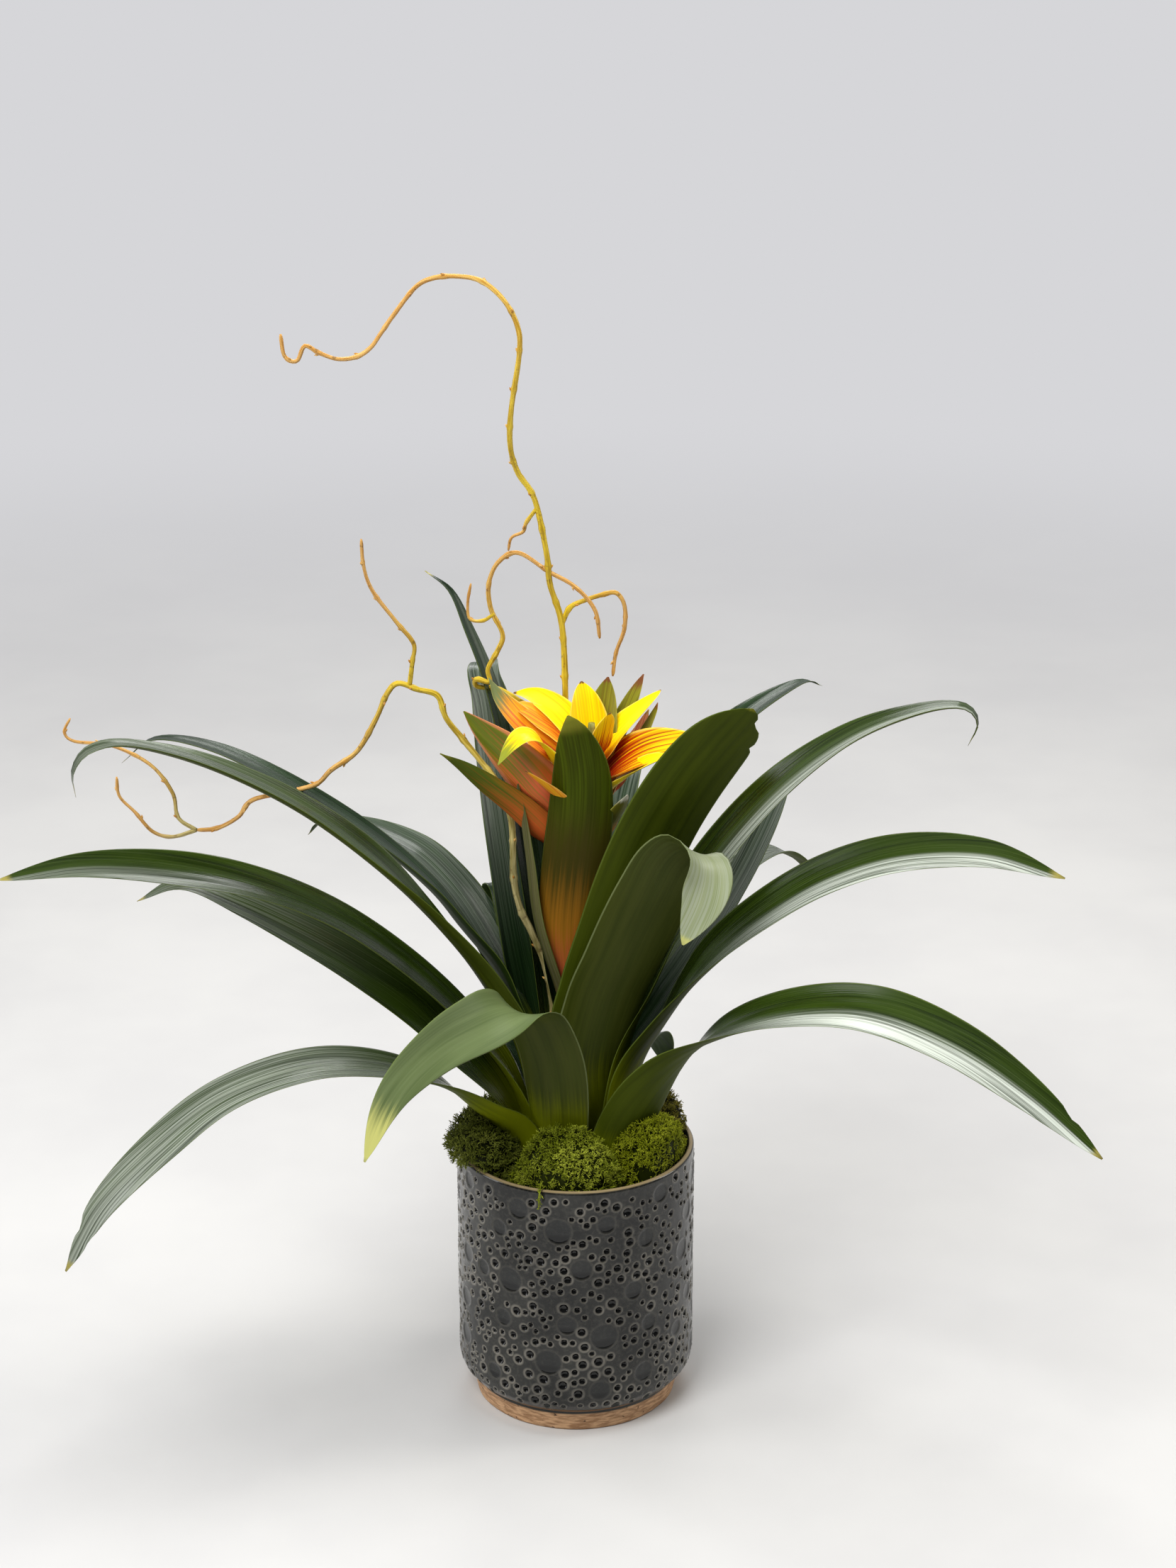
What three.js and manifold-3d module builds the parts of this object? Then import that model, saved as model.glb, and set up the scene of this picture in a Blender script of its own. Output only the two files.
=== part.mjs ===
// A flowering bromeliad in a glazed pot, with three curly willow branches and moss on the soil.
// Millimetres, +Z up, +Y away from the front. The origin is the middle of the pot's underside.
import * as THREE from "three";
import { LoftGeometry } from "three/addons/geometries/LoftGeometry.js";
import { mergeVertices } from "three/addons/utils/BufferGeometryUtils.js";
import Module from "manifold-3d";

const wasm = await Module();
wasm.setup();

// Clearance between two touching pieces, and the shortest edge that a cut piece keeps.
const GAP = 0.3;
const SHORTEST_EDGE = 0.02;

// The pot.
const POT_HEIGHT = 173;
const POT_RADIUS = 75;
const POT_WALL = 4.5;
const POT_FLOOR = 9;
const FOOT_RADIUS = 64;
const CLAY_HEIGHT = 15;
const CLAY_RADIUS = 66;
const SHOULDER_HEIGHT = 29;
const POT_SIDES = 56;

// The soil, and the crown that the leaves grow from.
const SOIL_TOP = 153;
const CROWN_RADIUS = 35;
const CROWN_EDGE = 160;
const CROWN_TOP_RADIUS = 14.5;
const CROWN_TOP = 187;
const CROWN_SIDES = 28;

// The flower stalk leans to the right on its way up and ends in a slim cone.
const STALK_FOOT = 191;
const STALK_RADIUS = 6;
const STALK_LEAN = 10;
const STALK_LEAN_HEIGHT = 150;
const HEAD_FOOT = 390;
const HEAD_TOP = 452;
const HEAD_TIP_RADIUS = 2;

// Leaf and bract blades: greatest thickness, how much of it is lost towards the edges, and how
// finely they are built. A foot's width is a share of the blade's.
const LEAF_THICKNESS = 1.6;
const BRACT_THICKNESS = 1.0;
const EDGE_THINNING = 0.9;
const LEAF_FOOT_WIDTH = 0.9;
const BLADE_COLUMNS = 4;
const TIP_WIDTH = 1.2;

const LEAF_GREEN = 0x3d5220;
const DEEP_GREEN = 0x2c4228;
const BRACT_YELLOW = 0xf2b417;
const BRACT_ORANGE = 0xe9822f;
const BRACT_RUST = 0x93602d;
const BRACT_GREEN = 0x5f7430;

// Each leaf: turn is the way it grows, in degrees from +X towards +Y; seat is the radius of its foot
// on the crown, and aside is how far the foot stands sideways; spine holds [outward, sideways,
// height, roll] points, where roll turns the blade about its own midrib; cup is half of the angle
// that the blade curls through; a low tip number gives a long point.
const LEAVES = {
  leaf_back_tall: {
    turn: 150, seat: 15, width: 22, cup: 35,
    spine: [[24, 0, 270, 0], [38, 0, 362, 0], [50, 0, 425, 0], [62, 0, 469, 0], [76, 0, 500, 0],
      [88, 0, 522, 0], [106, 0, 532, 0]],
  },
  leaf_right_torn: {
    turn: 318, seat: 16.5, width: 50, cup: 26, tip: 16,
    spine: [[14, -5, 250, -20], [21, -1, 285, -30], [31, 3, 318, -38], [45, 4, 356, -40],
      [62, 5, 393, -40], [84, 4, 428, -40], [108, 4, 460, -40], [135, 4, 491, -40]],
  },
  leaf_back_arched: {
    turn: 118, seat: 18.5, width: 42, cup: 25,
    spine: [[36, 6, 255, 0], [44, 13, 305, 0], [58, 15, 357, 0], [70, 14, 387, 0], [84, 12, 414, 0],
      [98, 9, 437, 0], [111, 7, 451, 0], [128, -4, 453, 0], [142, -16, 437, 0]],
  },
  leaf_right_curled: {
    turn: 45, seat: 16, width: 34, cup: 40,
    spine: [[26, 0, 255, 0], [56, 0, 330, 0], [94, 0, 380, 0], [126, 0, 407, 0], [160, 0, 421, 0],
      [206, 0, 429, 0], [227, 0, 422, 0]],
  },
  leaf_left_back: {
    turn: 172, seat: 16.5, width: 38, cup: 30,
    spine: [[24, 0, 230, 15], [37, 0, 262, 12], [52, 0, 289, 25], [72, 0, 315, 20], [92, 0, 340, 15],
      [130, 0, 372, 10], [182, 0, 404, 5], [225, 0, 424, 5], [262, 0, 429, 5], [284, 0, 412, 0]],
  },
  leaf_right_arched: {
    turn: 350, seat: 23, width: 40, cup: 35, rows: 18,
    spine: [[33, 1, 237, 0], [49, 1, 287, 20], [68, 0, 336, 28], [95, 0, 380, 30], [128, 0, 420, 25],
      [168, 0, 453, 15], [206, 0, 471, 5], [232, 0, 476, 0], [242, 0, 467, 0], [237, 0, 452, 0]],
  },
  leaf_left_arched: {
    turn: 198, seat: 24.5, width: 42, cup: 38, rows: 18,
    spine: [[36, 0, 240, 10], [60, 0, 290, 10], [94, 0, 338, 0], [130, 0, 379, -10], [175, 0, 418, -5],
      [225, 0, 449, 0], [270, 0, 467, 5], [294, 0, 467, 0], [305, 0, 455, 0], [304, 0, 439, 0]],
  },
  leaf_left_bent: {
    turn: 148, seat: 21.5, width: 40, cup: 30,
    spine: [[41, 0, 255, 0], [58, 0, 285, 0], [78, 0, 312, 0], [98, 0, 331, 0], [122, 0, 345, 0],
      [160, 0, 352, 0], [190, 0, 350, 0], [204, 0, 338, 0]],
  },
  leaf_right_folded: {
    turn: 312, seat: 20.5, width: 52, cup: 24, tip: 6, rows: 22,
    spine: [[24, -8, 234, -20], [32, -3, 278, -28], [44, 1, 308, -32], [57, 2, 335, -35],
      [73, 1, 363, -35], [88, 0, 387, -34], [103, 0, 398, -34], [115, 1, 392, -8],
      [118, -5, 373, 34], [114, -17, 347, 44]],
  },
  leaf_left_long: {
    turn: 195, seat: 26.5, width: 42, cup: 32,
    spine: [[45, 0, 225, -10], [75, 0, 267, -12], [110, 0, 305, -12], [150, 0, 338, -12],
      [195, 0, 363, -15], [245, 0, 380, -25], [300, 0, 389, -30], [350, 0, 386, -35]],
  },
  leaf_right_back: {
    turn: 25, seat: 25.5, width: 38, cup: 30,
    spine: [[40, 0, 224, 0], [61, 0, 253, 0], [86, 0, 285, 0], [108, 0, 318, 0], [125, 0, 346, 0],
      [140, 0, 376, 0], [152, 0, 407, 0]],
  },
  leaf_back_bent: {
    turn: 127, seat: 23.5, width: 32, cup: 25,
    spine: [[36, 0, 227, 0], [52, 0, 265, 0], [67, 0, 298, 0], [79, 0, 319, 0], [88, 0, 317, 0],
      [90, 0, 293, 0]],
  },
  leaf_back_right: {
    turn: 80, seat: 24.5, width: 40, cup: 28,
    spine: [[40, 0, 230, 0], [70, 0, 295, 0], [112, 0, 345, 0], [165, 0, 367, 0], [220, 0, 363, 0],
      [262, 0, 335, 0]],
  },
  leaf_left_under: {
    turn: 185, seat: 28.5, width: 46, cup: 30,
    spine: [[50, 0, 210, -15], [75, 0, 243, -30], [100, 0, 273, -40], [130, 0, 297, -38],
      [165, 0, 320, -32], [205, 0, 342, -20], [240, 0, 355, -5], [268, 0, 345, 0]],
  },
  leaf_front_folded: {
    turn: 245, seat: 28.5, width: 44, cup: 22, tip: 3, rows: 20,
    spine: [[42, 6, 216, 5], [51, 7, 248, 8], [61, 3, 275, 8], [70, 0, 287, 0], [83, -7, 292, -25],
      [105, -17, 291, -50], [131, -27, 287, -58], [157, -37, 275, -52], [174, -43, 259, -45],
      [190, -47, 233, -40]],
  },
  leaf_right_long: {
    turn: 342, seat: 29.5, width: 42, cup: 38,
    spine: [[38, 0, 221, -12], [59, 0, 263, 0], [87, 0, 306, 18], [120, 0, 340, 26], [160, 0, 370, 30],
      [205, 0, 390, 34], [255, 0, 397, 40], [302, 0, 388, 40]],
  },
  leaf_right_drooping: {
    turn: 50, seat: 28.5, width: 38, cup: 30,
    spine: [[50, 0, 230, 0], [91, 0, 278, 0], [142, 0, 302, 0], [195, 0, 309, 0], [228, 0, 296, 0],
      [252, 0, 273, 0]],
  },
  leaf_back_left: {
    turn: 104, seat: 27.5, width: 40, cup: 28,
    spine: [[42, 0, 220, 0], [74, 0, 267, 0], [112, 0, 297, 0], [152, 0, 305, 0], [190, 0, 291, 0],
      [216, 0, 261, 0]],
  },
  leaf_left_drooping: {
    turn: 208, seat: 33.5, aside: 6, width: 38, cup: 28,
    spine: [[46, 4, 189, 35], [66, 1, 208, 20], [97, 0, 234, 0], [140, 0, 253, -10], [185, 0, 261, -10],
      [235, 0, 254, -10], [275, 0, 233, -20], [315, 0, 202, -30], [340, 0, 165, -35]],
  },
  leaf_right_low: {
    turn: 326, seat: 33.5, aside: -12, width: 42, cup: 38,
    spine: [[45, -9, 197, -40], [70, -3, 238, -20], [105, 0, 271, 8], [155, 0, 298, 20],
      [210, 0, 312, 28], [265, 0, 306, 36], [315, 0, 287, 45], [362, 0, 260, 45]],
  },
  leaf_back_low: {
    turn: 90, seat: 31.5, width: 38, cup: 28,
    spine: [[50, 0, 205, 0], [90, 0, 240, 0], [140, 0, 255, 0], [190, 0, 243, 0], [228, 0, 211, 0]],
  },
  leaf_back_low_left: {
    turn: 128, seat: 33.5, width: 38, cup: 28,
    spine: [[50, 0, 195, 0], [85, 0, 213, 0], [120, 0, 215, 0], [146, 0, 197, 0], [162, 0, 171, 0]],
  },
  leaf_back_low_right: {
    turn: 64, seat: 33.5, width: 36, cup: 28,
    spine: [[48, 0, 191, 0], [74, 0, 205, 0], [102, 0, 205, 0], [124, 0, 189, 0], [138, 0, 167, 0]],
  },
};

// Each bract: foot is the height on the stalk where it grows; the rest is as for the leaves, with
// outward and sideways measured from the stalk.
const BRACTS = {
  bract_center: {
    turn: 110, foot: 433, width: 28, cup: 35, color: BRACT_YELLOW, tip: 3,
    spine: [[7, 0, 448, 0], [12, 0, 462, 0], [18, 0, 473, 0]],
  },
  bract_streaked: {
    turn: 310, foot: 429, width: 20, cup: 30, color: BRACT_YELLOW, tip: 4,
    spine: [[10, 0, 440, 0], [14, 0, 452, 0], [17, 0, 463, 0]],
  },
  bract_right_up: {
    turn: 30, foot: 421, width: 26, cup: 35, color: BRACT_YELLOW, tip: 2.5,
    spine: [[12, 0, 435, 0], [23, 0, 446, 0], [35, 0, 455, 0], [49, 0, 465, 0]],
  },
  bract_left_up: {
    turn: 150, foot: 421, width: 26, cup: 30, color: BRACT_YELLOW, tip: 2.5,
    spine: [[10, 0, 441, -10], [22, 0, 454, -20], [35, 0, 461, -25], [45, 0, 463, -25],
      [55, 0, 462, -25]],
  },
  bract_back: {
    turn: 44, foot: 397, width: 24, cup: 30, color: BRACT_ORANGE, tip: 2.5,
    spine: [[17, 0, 408, 0], [30, 0, 421, 0], [42, 0, 435, 0], [49, 0, 449, 0]],
  },
  bract_right_long: {
    turn: 342, foot: 402, width: 42, cup: 50, color: BRACT_YELLOW, tip: 2.5,
    spine: [[12, 0, 418, 15], [23, 0, 428, 25], [36, 0, 436, 30], [50, 0, 441, 30], [63, 0, 444, 28],
      [76, 0, 445, 25]],
  },
  bract_left_inner: {
    turn: 168, foot: 415, width: 28, cup: 35, color: BRACT_ORANGE, tip: 2.5,
    spine: [[12, 0, 435, -15], [20, 0, 445, -25], [31, 0, 452, -25], [42, 0, 458, -25],
      [52, 0, 460, -20]],
  },
  bract_left_pointed: {
    turn: 178, foot: 407, width: 32, cup: 40, color: BRACT_ORANGE, tip: 2.5,
    spine: [[14, 0, 425, -20], [28, 0, 438, -30], [41, 0, 449, -30], [51, 0, 460, -30],
      [58, 0, 470, -30], [62, 0, 480, -20]],
  },
  bract_back_green: {
    turn: 72, foot: 417, width: 26, cup: 30, color: BRACT_GREEN, tip: 3,
    spine: [[12, 0, 431, 0], [19, 0, 446, 0], [27, 0, 460, 0], [33, 0, 471, 0]],
  },
  bract_back_brown: {
    turn: 51, foot: 407, width: 20, cup: 35, color: BRACT_GREEN, tip: 2.5,
    spine: [[14, 0, 423, 0], [28, 0, 441, 0], [40, 0, 457, 0], [51, 0, 470, 0]],
  },
  bract_back_left: {
    turn: 130, foot: 403, width: 24, cup: 30, color: BRACT_ORANGE, tip: 2.5,
    spine: [[15, 0, 423, 0], [29, 0, 437, 0], [44, 0, 443, 0], [58, 0, 441, 0]],
  },
  bract_front_left: {
    turn: 215, foot: 393, width: 28, cup: 30, color: BRACT_YELLOW, tip: 2.5,
    spine: [[15, 0, 413, 0], [25, 0, 429, 0], [33, 0, 441, -10], [41, 0, 450, -15], [50, 0, 453, -15],
      [59, 0, 448, -10], [68, 0, 439, 0]],
  },
  bract_front_right: {
    turn: 324, foot: 396, width: 28, cup: 40, color: BRACT_YELLOW, tip: 2.5,
    spine: [[14, 0, 411, 5], [25, 0, 422, 15], [36, 0, 431, 20], [47, 0, 438, 20], [58, 0, 443, 15]],
  },
  bract_right_green: {
    turn: 20, foot: 391, width: 22, cup: 35, color: BRACT_GREEN, tip: 2.5,
    spine: [[16, 0, 413, 0], [26, 0, 427, 0], [34, 0, 439, 0], [41, 0, 454, 0], [43, 0, 460, 0]],
  },
  bract_left_small: {
    turn: 224, foot: 387, width: 20, cup: 35, color: BRACT_YELLOW, tip: 2.5,
    spine: [[14, 0, 398, 0], [27, 0, 410, 0], [41, 0, 423, 0], [55, 0, 435, 0]],
  },
  bract_front: {
    turn: 262, foot: 381, width: 22, cup: 35, color: BRACT_ORANGE, tip: 2.5,
    spine: [[11, 0, 398, 0], [14, 0, 413, 0], [17, 0, 426, 0]],
  },
  bract_left_green: {
    turn: 200, foot: 369, width: 38, cup: 32, color: BRACT_GREEN, tip: 2.5,
    spine: [[14, 0, 387, 45], [25, 0, 404, 60], [34, 0, 414, 65], [45, 0, 428, 65], [57, 0, 442, 65],
      [70, 0, 456, 60], [81, 0, 469, 50]],
  },
  bract_right_small: {
    turn: 314, foot: 373, width: 24, cup: 35, color: BRACT_GREEN, tip: 3,
    spine: [[16, 0, 389, 0], [24, 0, 401, 0], [31, 0, 414, 0]],
  },
  stalk_leaf_long: {
    turn: 195, foot: 341, width: 25, cup: 40, color: BRACT_RUST, tip: 2.5,
    spine: [[15, 0, 365, 30], [31, 0, 385, 60], [47, 0, 402, 65], [64, 0, 417, 65], [80, 0, 431, 60],
      [94, 0, 441, 50]],
  },
  stalk_leaf_front: {
    turn: 265, foot: 267, width: 43, cup: 30, color: LEAF_GREEN, tip: 7, thickness: LEAF_THICKNESS,
    rows: 10,
    spine: [[9, -6, 288, 0], [13, -8, 320, 0], [18, -5, 357, 0], [24, 0, 400, 0], [29, 1, 430, 0],
      [34, -2, 455, 0], [36, -6, 469, 0]],
  },
  stalk_leaf_left: {
    turn: 190, foot: 245, width: 26, cup: 45, color: BRACT_RUST, tip: 3, rows: 9,
    spine: [[15, 0, 277, 0], [28, 0, 323, 0], [33, 0, 367, 0], [37, 0, 400, 0], [41, 0, 423, 0],
      [43, 0, 443, 0]],
  },
  stalk_leaf_back: {
    turn: 140, foot: 227, width: 32, cup: 35, color: DEEP_GREEN, tip: 3, rows: 9,
    spine: [[13, 0, 265, 0], [20, 0, 297, 0], [27, 0, 340, 0], [33, 0, 373, 0], [38, 0, 407, 0]],
  },
};

// Curly willow: each branch is a main shoot with side shoots, [x, y, z] points and end radii.
const WILLOW = {
  willow_tall: [
    {
      radii: [2.4, 1.2], rows: 64,
      points: [[2, 11, 195], [4, 12, 245], [5, 13, 305], [0, 17, 375], [-6, 22, 435], [-6, 24, 467],
        [-8, 24, 507], [-15, 22, 533], [-17, 20, 553], [-24, 18, 587], [-34, 14, 605], [-38, 8, 623],
        [-37, 2, 646], [-32, -2, 680], [-33, -2, 696], [-41, 0, 711], [-54, 5, 721], [-69, 9, 723],
        [-83, 12, 721], [-93, 14, 715], [-105, 13, 700], [-113, 11, 689], [-119, 9, 681],
        [-127, 7, 676], [-138, 5, 675], [-149, 4, 679], [-157, 4, 683], [-162, 4, 674], [-169, 4, 677],
        [-171, 4, 690]],
    },
    {
      radii: [1.6, 1.1], rows: 16,
      points: [[-8, 24, 507], [-3, 26, 517], [6, 28, 521], [17, 30, 524], [25, 30, 525], [30, 30, 517],
        [30, 30, 502], [25, 30, 487], [23, 30, 472]],
    },
    {
      radii: [1.2, 0.9], rows: 6,
      points: [[-23, 18, 581], [-29, 20, 572], [-31, 21, 566], [-38, 22, 562], [-40, 22, 554]],
    },
  ],
  willow_middle: [
    {
      radii: [2.2, 1.2], rows: 46,
      points: [[-6, 10, 195], [-9, 19, 265], [-10, 26, 335], [-14, 28, 400], [-24, 29, 445],
        [-36, 28, 458], [-49, 30, 464], [-60, 28, 466], [-60, 24, 472], [-52, 22, 471], [-53, 23, 479],
        [-47, 25, 490], [-44, 26, 500], [-51, 27, 516], [-52, 26, 532], [-46, 25, 546], [-34, 24, 552],
        [-16, 22, 541], [0, 20, 532], [12, 18, 518], [15, 18, 500]],
    },
    {
      radii: [1.1, 0.8], rows: 8,
      points: [[-49, 26, 513], [-56, 28, 508], [-64, 29, 509], [-65, 30, 519], [-63, 30, 531]],
    },
  ],
  willow_left: [
    {
      radii: [2.5, 1.3], rows: 46,
      points: [[-8, 6, 195], [-12, 8, 245], [-18, 6, 287], [-27, 4, 313], [-34, 4, 329], [-38, 5, 350],
        [-39, 7, 385], [-47, 13, 407], [-57, 20, 419], [-70, 23, 435], [-79, 24, 447], [-84, 25, 461],
        [-96, 25, 465], [-108, 25, 469], [-115, 25, 462], [-122, 25, 446], [-134, 25, 425],
        [-150, 25, 413], [-160, 26, 403], [-180, 27, 397], [-200, 27, 392], [-209, 27, 381],
        [-222, 26, 374], [-235, 25, 373]],
    },
    {
      radii: [1.3, 0.9], rows: 9,
      points: [[-235, 25, 373], [-250, 24, 369], [-262, 23, 373], [-272, 22, 386], [-281, 21, 397],
        [-282, 20, 410]],
    },
    {
      radii: [1.3, 0.9], rows: 14,
      points: [[-235, 25, 373], [-246, 26, 381], [-249, 27, 397], [-262, 28, 415], [-285, 29, 427],
        [-308, 29, 430], [-314, 29, 436], [-310, 29, 445]],
    },
    {
      radii: [1.5, 1.0], rows: 11,
      points: [[-101, 25, 468], [-99, 24, 483], [-98, 23, 495], [-108, 22, 509], [-122, 21, 529],
        [-127, 20, 545], [-128, 19, 562]],
    },
  ],
};

// Moss clumps: middle [x, y, z] and half sizes, resting on the soil.
const MOSS = {
  moss_left: { at: [-57, -16, 173], size: [24, 32, 27] },
  moss_front: { at: [-5, -50, 173], size: [30, 20.5, 31] },
  moss_right: { at: [46, -27, 172], size: [23.5, 26, 30] },
  moss_back_right: { at: [54, 22, 170], size: [21, 27, 23] },
  moss_back: { at: [5, 52, 169], size: [34, 18, 23] },
  moss_back_left: { at: [-44, 36, 168], size: [22, 22, 23] },
};

// ---------------------------------------------------------------- shared geometry

function smoothStep(x) {
  const f = Math.min(1, Math.max(0, x));
  return f * f * (3 - 2 * f);
}

// A Catmull-Rom curve through rows of numbers; t runs from 0 to 1 over even steps between rows.
function curveAt(rows, t) {
  const spans = rows.length - 1;
  const index = Math.min(spans - 1, Math.floor(t * spans));
  const f = t * spans - index;
  const b = rows[index];
  const c = rows[index + 1];
  const a = rows[index - 1] ?? b.map((value, i) => 2 * value - c[i]);
  const d = rows[index + 2] ?? c.map((value, i) => 2 * value - b[i]);
  return b.map((value, i) => {
    const square = 2 * a[i] - 5 * value + 4 * c[i] - d[i];
    const cube = 3 * value - a[i] - 3 * c[i] + d[i];
    return 0.5 * (2 * value + (c[i] - a[i]) * f + square * f * f + cube * f ** 3);
  });
}

// Values of t that are evenly spaced along the curve's length.
function evenSteps(rows, count) {
  const fine = 400;
  const lengths = [0];
  let last = curveAt(rows, 0);
  for (let i = 1; i <= fine; i += 1) {
    const next = curveAt(rows, i / fine);
    lengths.push(lengths[i - 1] + Math.hypot(next[0] - last[0], next[1] - last[1], next[2] - last[2]));
    last = next;
  }
  const steps = [];
  let i = 0;
  for (let k = 0; k <= count; k += 1) {
    const goal = (lengths[fine] * k) / count;
    while (i < fine - 1 && lengths[i + 1] < goal) {
      i += 1;
    }
    const part = (goal - lengths[i]) / (lengths[i + 1] - lengths[i]);
    steps.push(Math.min(1, (i + part) / fine));
  }
  return steps;
}

// The solid of a closed geometry, with its shared corners merged.
function solidOf(geometry) {
  const bare = new THREE.BufferGeometry();
  bare.setAttribute("position", geometry.getAttribute("position"));
  bare.setIndex(geometry.getIndex());
  const merged = mergeVertices(bare, 1e-4);
  const mesh = new wasm.Mesh({
    numProp: 3,
    vertProperties: new Float32Array(merged.attributes.position.array),
    triVerts: new Uint32Array(merged.index.array),
  });
  return new wasm.Manifold(mesh);
}

// The largest body of a solid, without the crumbs and the short edges that a cut can leave.
function largestBody(solid) {
  const bodies = solid.simplify(SHORTEST_EDGE).decompose();
  return bodies.reduce((best, body) => (body.volume() > best.volume() ? body : best));
}

function geometryOf(solid) {
  const mesh = solid.getMesh();
  const geometry = new THREE.BufferGeometry();
  geometry.setAttribute("position", new THREE.BufferAttribute(new Float32Array(mesh.vertProperties), 3));
  geometry.setIndex(new THREE.BufferAttribute(new Uint32Array(mesh.triVerts), 1));
  geometry.computeVertexNormals();
  return geometry;
}

function boxesMeet(one, other) {
  const a = one.boundingBox();
  const b = other.boundingBox();
  return [0, 1, 2].every((i) => a.min[i] < b.max[i] && b.min[i] < a.max[i]);
}

// One solid with room cut into it for its neighbours.
function trimmed(solid, cutters) {
  let rest = solid;
  for (const cutter of cutters) {
    if (boxesMeet(rest, cutter)) {
      rest = rest.subtract(cutter);
    }
  }
  return largestBody(rest);
}

// A turned solid from [radius, height] points that start and end on the axis.
function turnedSolid(profile, sides) {
  const points = profile.map(([radius, height]) => new THREE.Vector2(radius, height));
  return solidOf(new THREE.LatheGeometry(points, sides).rotateX(Math.PI / 2));
}

// ---------------------------------------------------------------- pot, soil and crown

// The pot's outline, grown outwards by a margin when it cuts a neighbour.
function potSolid(margin) {
  const outer = POT_RADIUS + margin;
  const inner = POT_RADIUS - POT_WALL - margin;
  const rim = POT_HEIGHT + margin;
  const floor = POT_FLOOR + margin;
  return turnedSolid([
    [0, -margin],
    [FOOT_RADIUS - 1 + margin, -margin],
    [FOOT_RADIUS + margin, 1],
    [CLAY_RADIUS + margin, CLAY_HEIGHT],
    [POT_RADIUS - 4.5 + margin, 18],
    [POT_RADIUS - 1.2 + margin, 23],
    [outer, SHOULDER_HEIGHT],
    [outer, POT_HEIGHT - 2],
    [outer - 1, rim],
    [inner + 1, rim],
    [inner, POT_HEIGHT - 2],
    [inner, 36],
    [inner - 6, 20],
    [inner - 14, floor + 2],
    [inner - 22, floor],
    [0, floor],
  ], POT_SIDES);
}

function soilSolid() {
  const radius = POT_RADIUS - POT_WALL - GAP;
  return turnedSolid([
    [0, POT_FLOOR + GAP],
    [radius - 22, POT_FLOOR + GAP],
    [radius - 14, POT_FLOOR + GAP + 2.5],
    [radius - 6, 20.5],
    [radius, 36.5],
    [radius, SOIL_TOP],
    [0, SOIL_TOP],
  ], POT_SIDES);
}

// Height of the crown's cone where a leaf of this radius stands.
function crownHeight(radius) {
  const slope = (CROWN_TOP - CROWN_EDGE) / (CROWN_RADIUS - CROWN_TOP_RADIUS);
  return CROWN_TOP - (radius - CROWN_TOP_RADIUS) * slope;
}

function crownSolid(margin) {
  return turnedSolid([
    [0, SOIL_TOP + GAP],
    [CROWN_RADIUS + margin, SOIL_TOP + GAP],
    [CROWN_RADIUS + margin, CROWN_EDGE + margin],
    [CROWN_TOP_RADIUS + margin, CROWN_TOP + margin],
    [STALK_RADIUS + 2, STALK_FOOT - GAP + margin],
    [0, STALK_FOOT - GAP + margin],
  ], CROWN_SIDES);
}

// ---------------------------------------------------------------- stalk

function stalkX(height) {
  return STALK_LEAN * smoothStep((height - STALK_FOOT) / STALK_LEAN_HEIGHT);
}

function stalkRadius(height) {
  if (height < HEAD_FOOT) {
    return STALK_RADIUS;
  }
  const part = (height - HEAD_FOOT) / (HEAD_TOP - HEAD_FOOT);
  return STALK_RADIUS + (HEAD_TIP_RADIUS - STALK_RADIUS) * part;
}

function stalkSolid(margin) {
  const rows = 16;
  const sides = 12;
  const sections = [];
  for (let row = 0; row <= rows; row += 1) {
    const height = STALK_FOOT + ((HEAD_TOP - STALK_FOOT) * row) / rows;
    const radius = stalkRadius(height) + margin;
    const ring = [];
    for (let side = 0; side < sides; side += 1) {
      const angle = (2 * Math.PI * side) / sides;
      const x = stalkX(height) + radius * Math.cos(angle);
      ring.push(new THREE.Vector3(x, radius * Math.sin(angle), height));
    }
    sections.push(ring);
  }
  return solidOf(new LoftGeometry(sections, { capStart: true, capEnd: true }));
}

// ---------------------------------------------------------------- blades: leaves and bracts

// Half of the blade's width at v, from 0 at the foot to 1 at the tip.
function halfWidth(blade, v) {
  const grown = blade.foot_width + (1 - blade.foot_width) * smoothStep(v / 0.3);
  return 0.5 * blade.width * grown * (1 - v ** blade.tip) ** 0.8;
}

// Half of the angle that the blade curls through at v: wrapped round the stem at its foot.
function halfCurl(blade, v) {
  const curl = blade.wrap + (blade.cup - blade.wrap) * smoothStep(v / 0.25);
  return THREE.MathUtils.degToRad(curl * (1 - 0.5 * v ** 4));
}

// Turns the diagonals of a blade's under side, so that both its sides fold along the same lines.
function matchSides(loft, rows) {
  const index = loft.getIndex();
  const sides = 2 * BLADE_COLUMNS + 2;
  for (let row = 0; row < rows; row += 1) {
    for (let side = BLADE_COLUMNS + 1; side < sides - 1; side += 1) {
      const at = 6 * (row * sides + side);
      index.setX(at + 2, index.getX(at + 4));
      index.setX(at + 3, index.getX(at));
    }
  }
  return loft;
}

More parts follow.
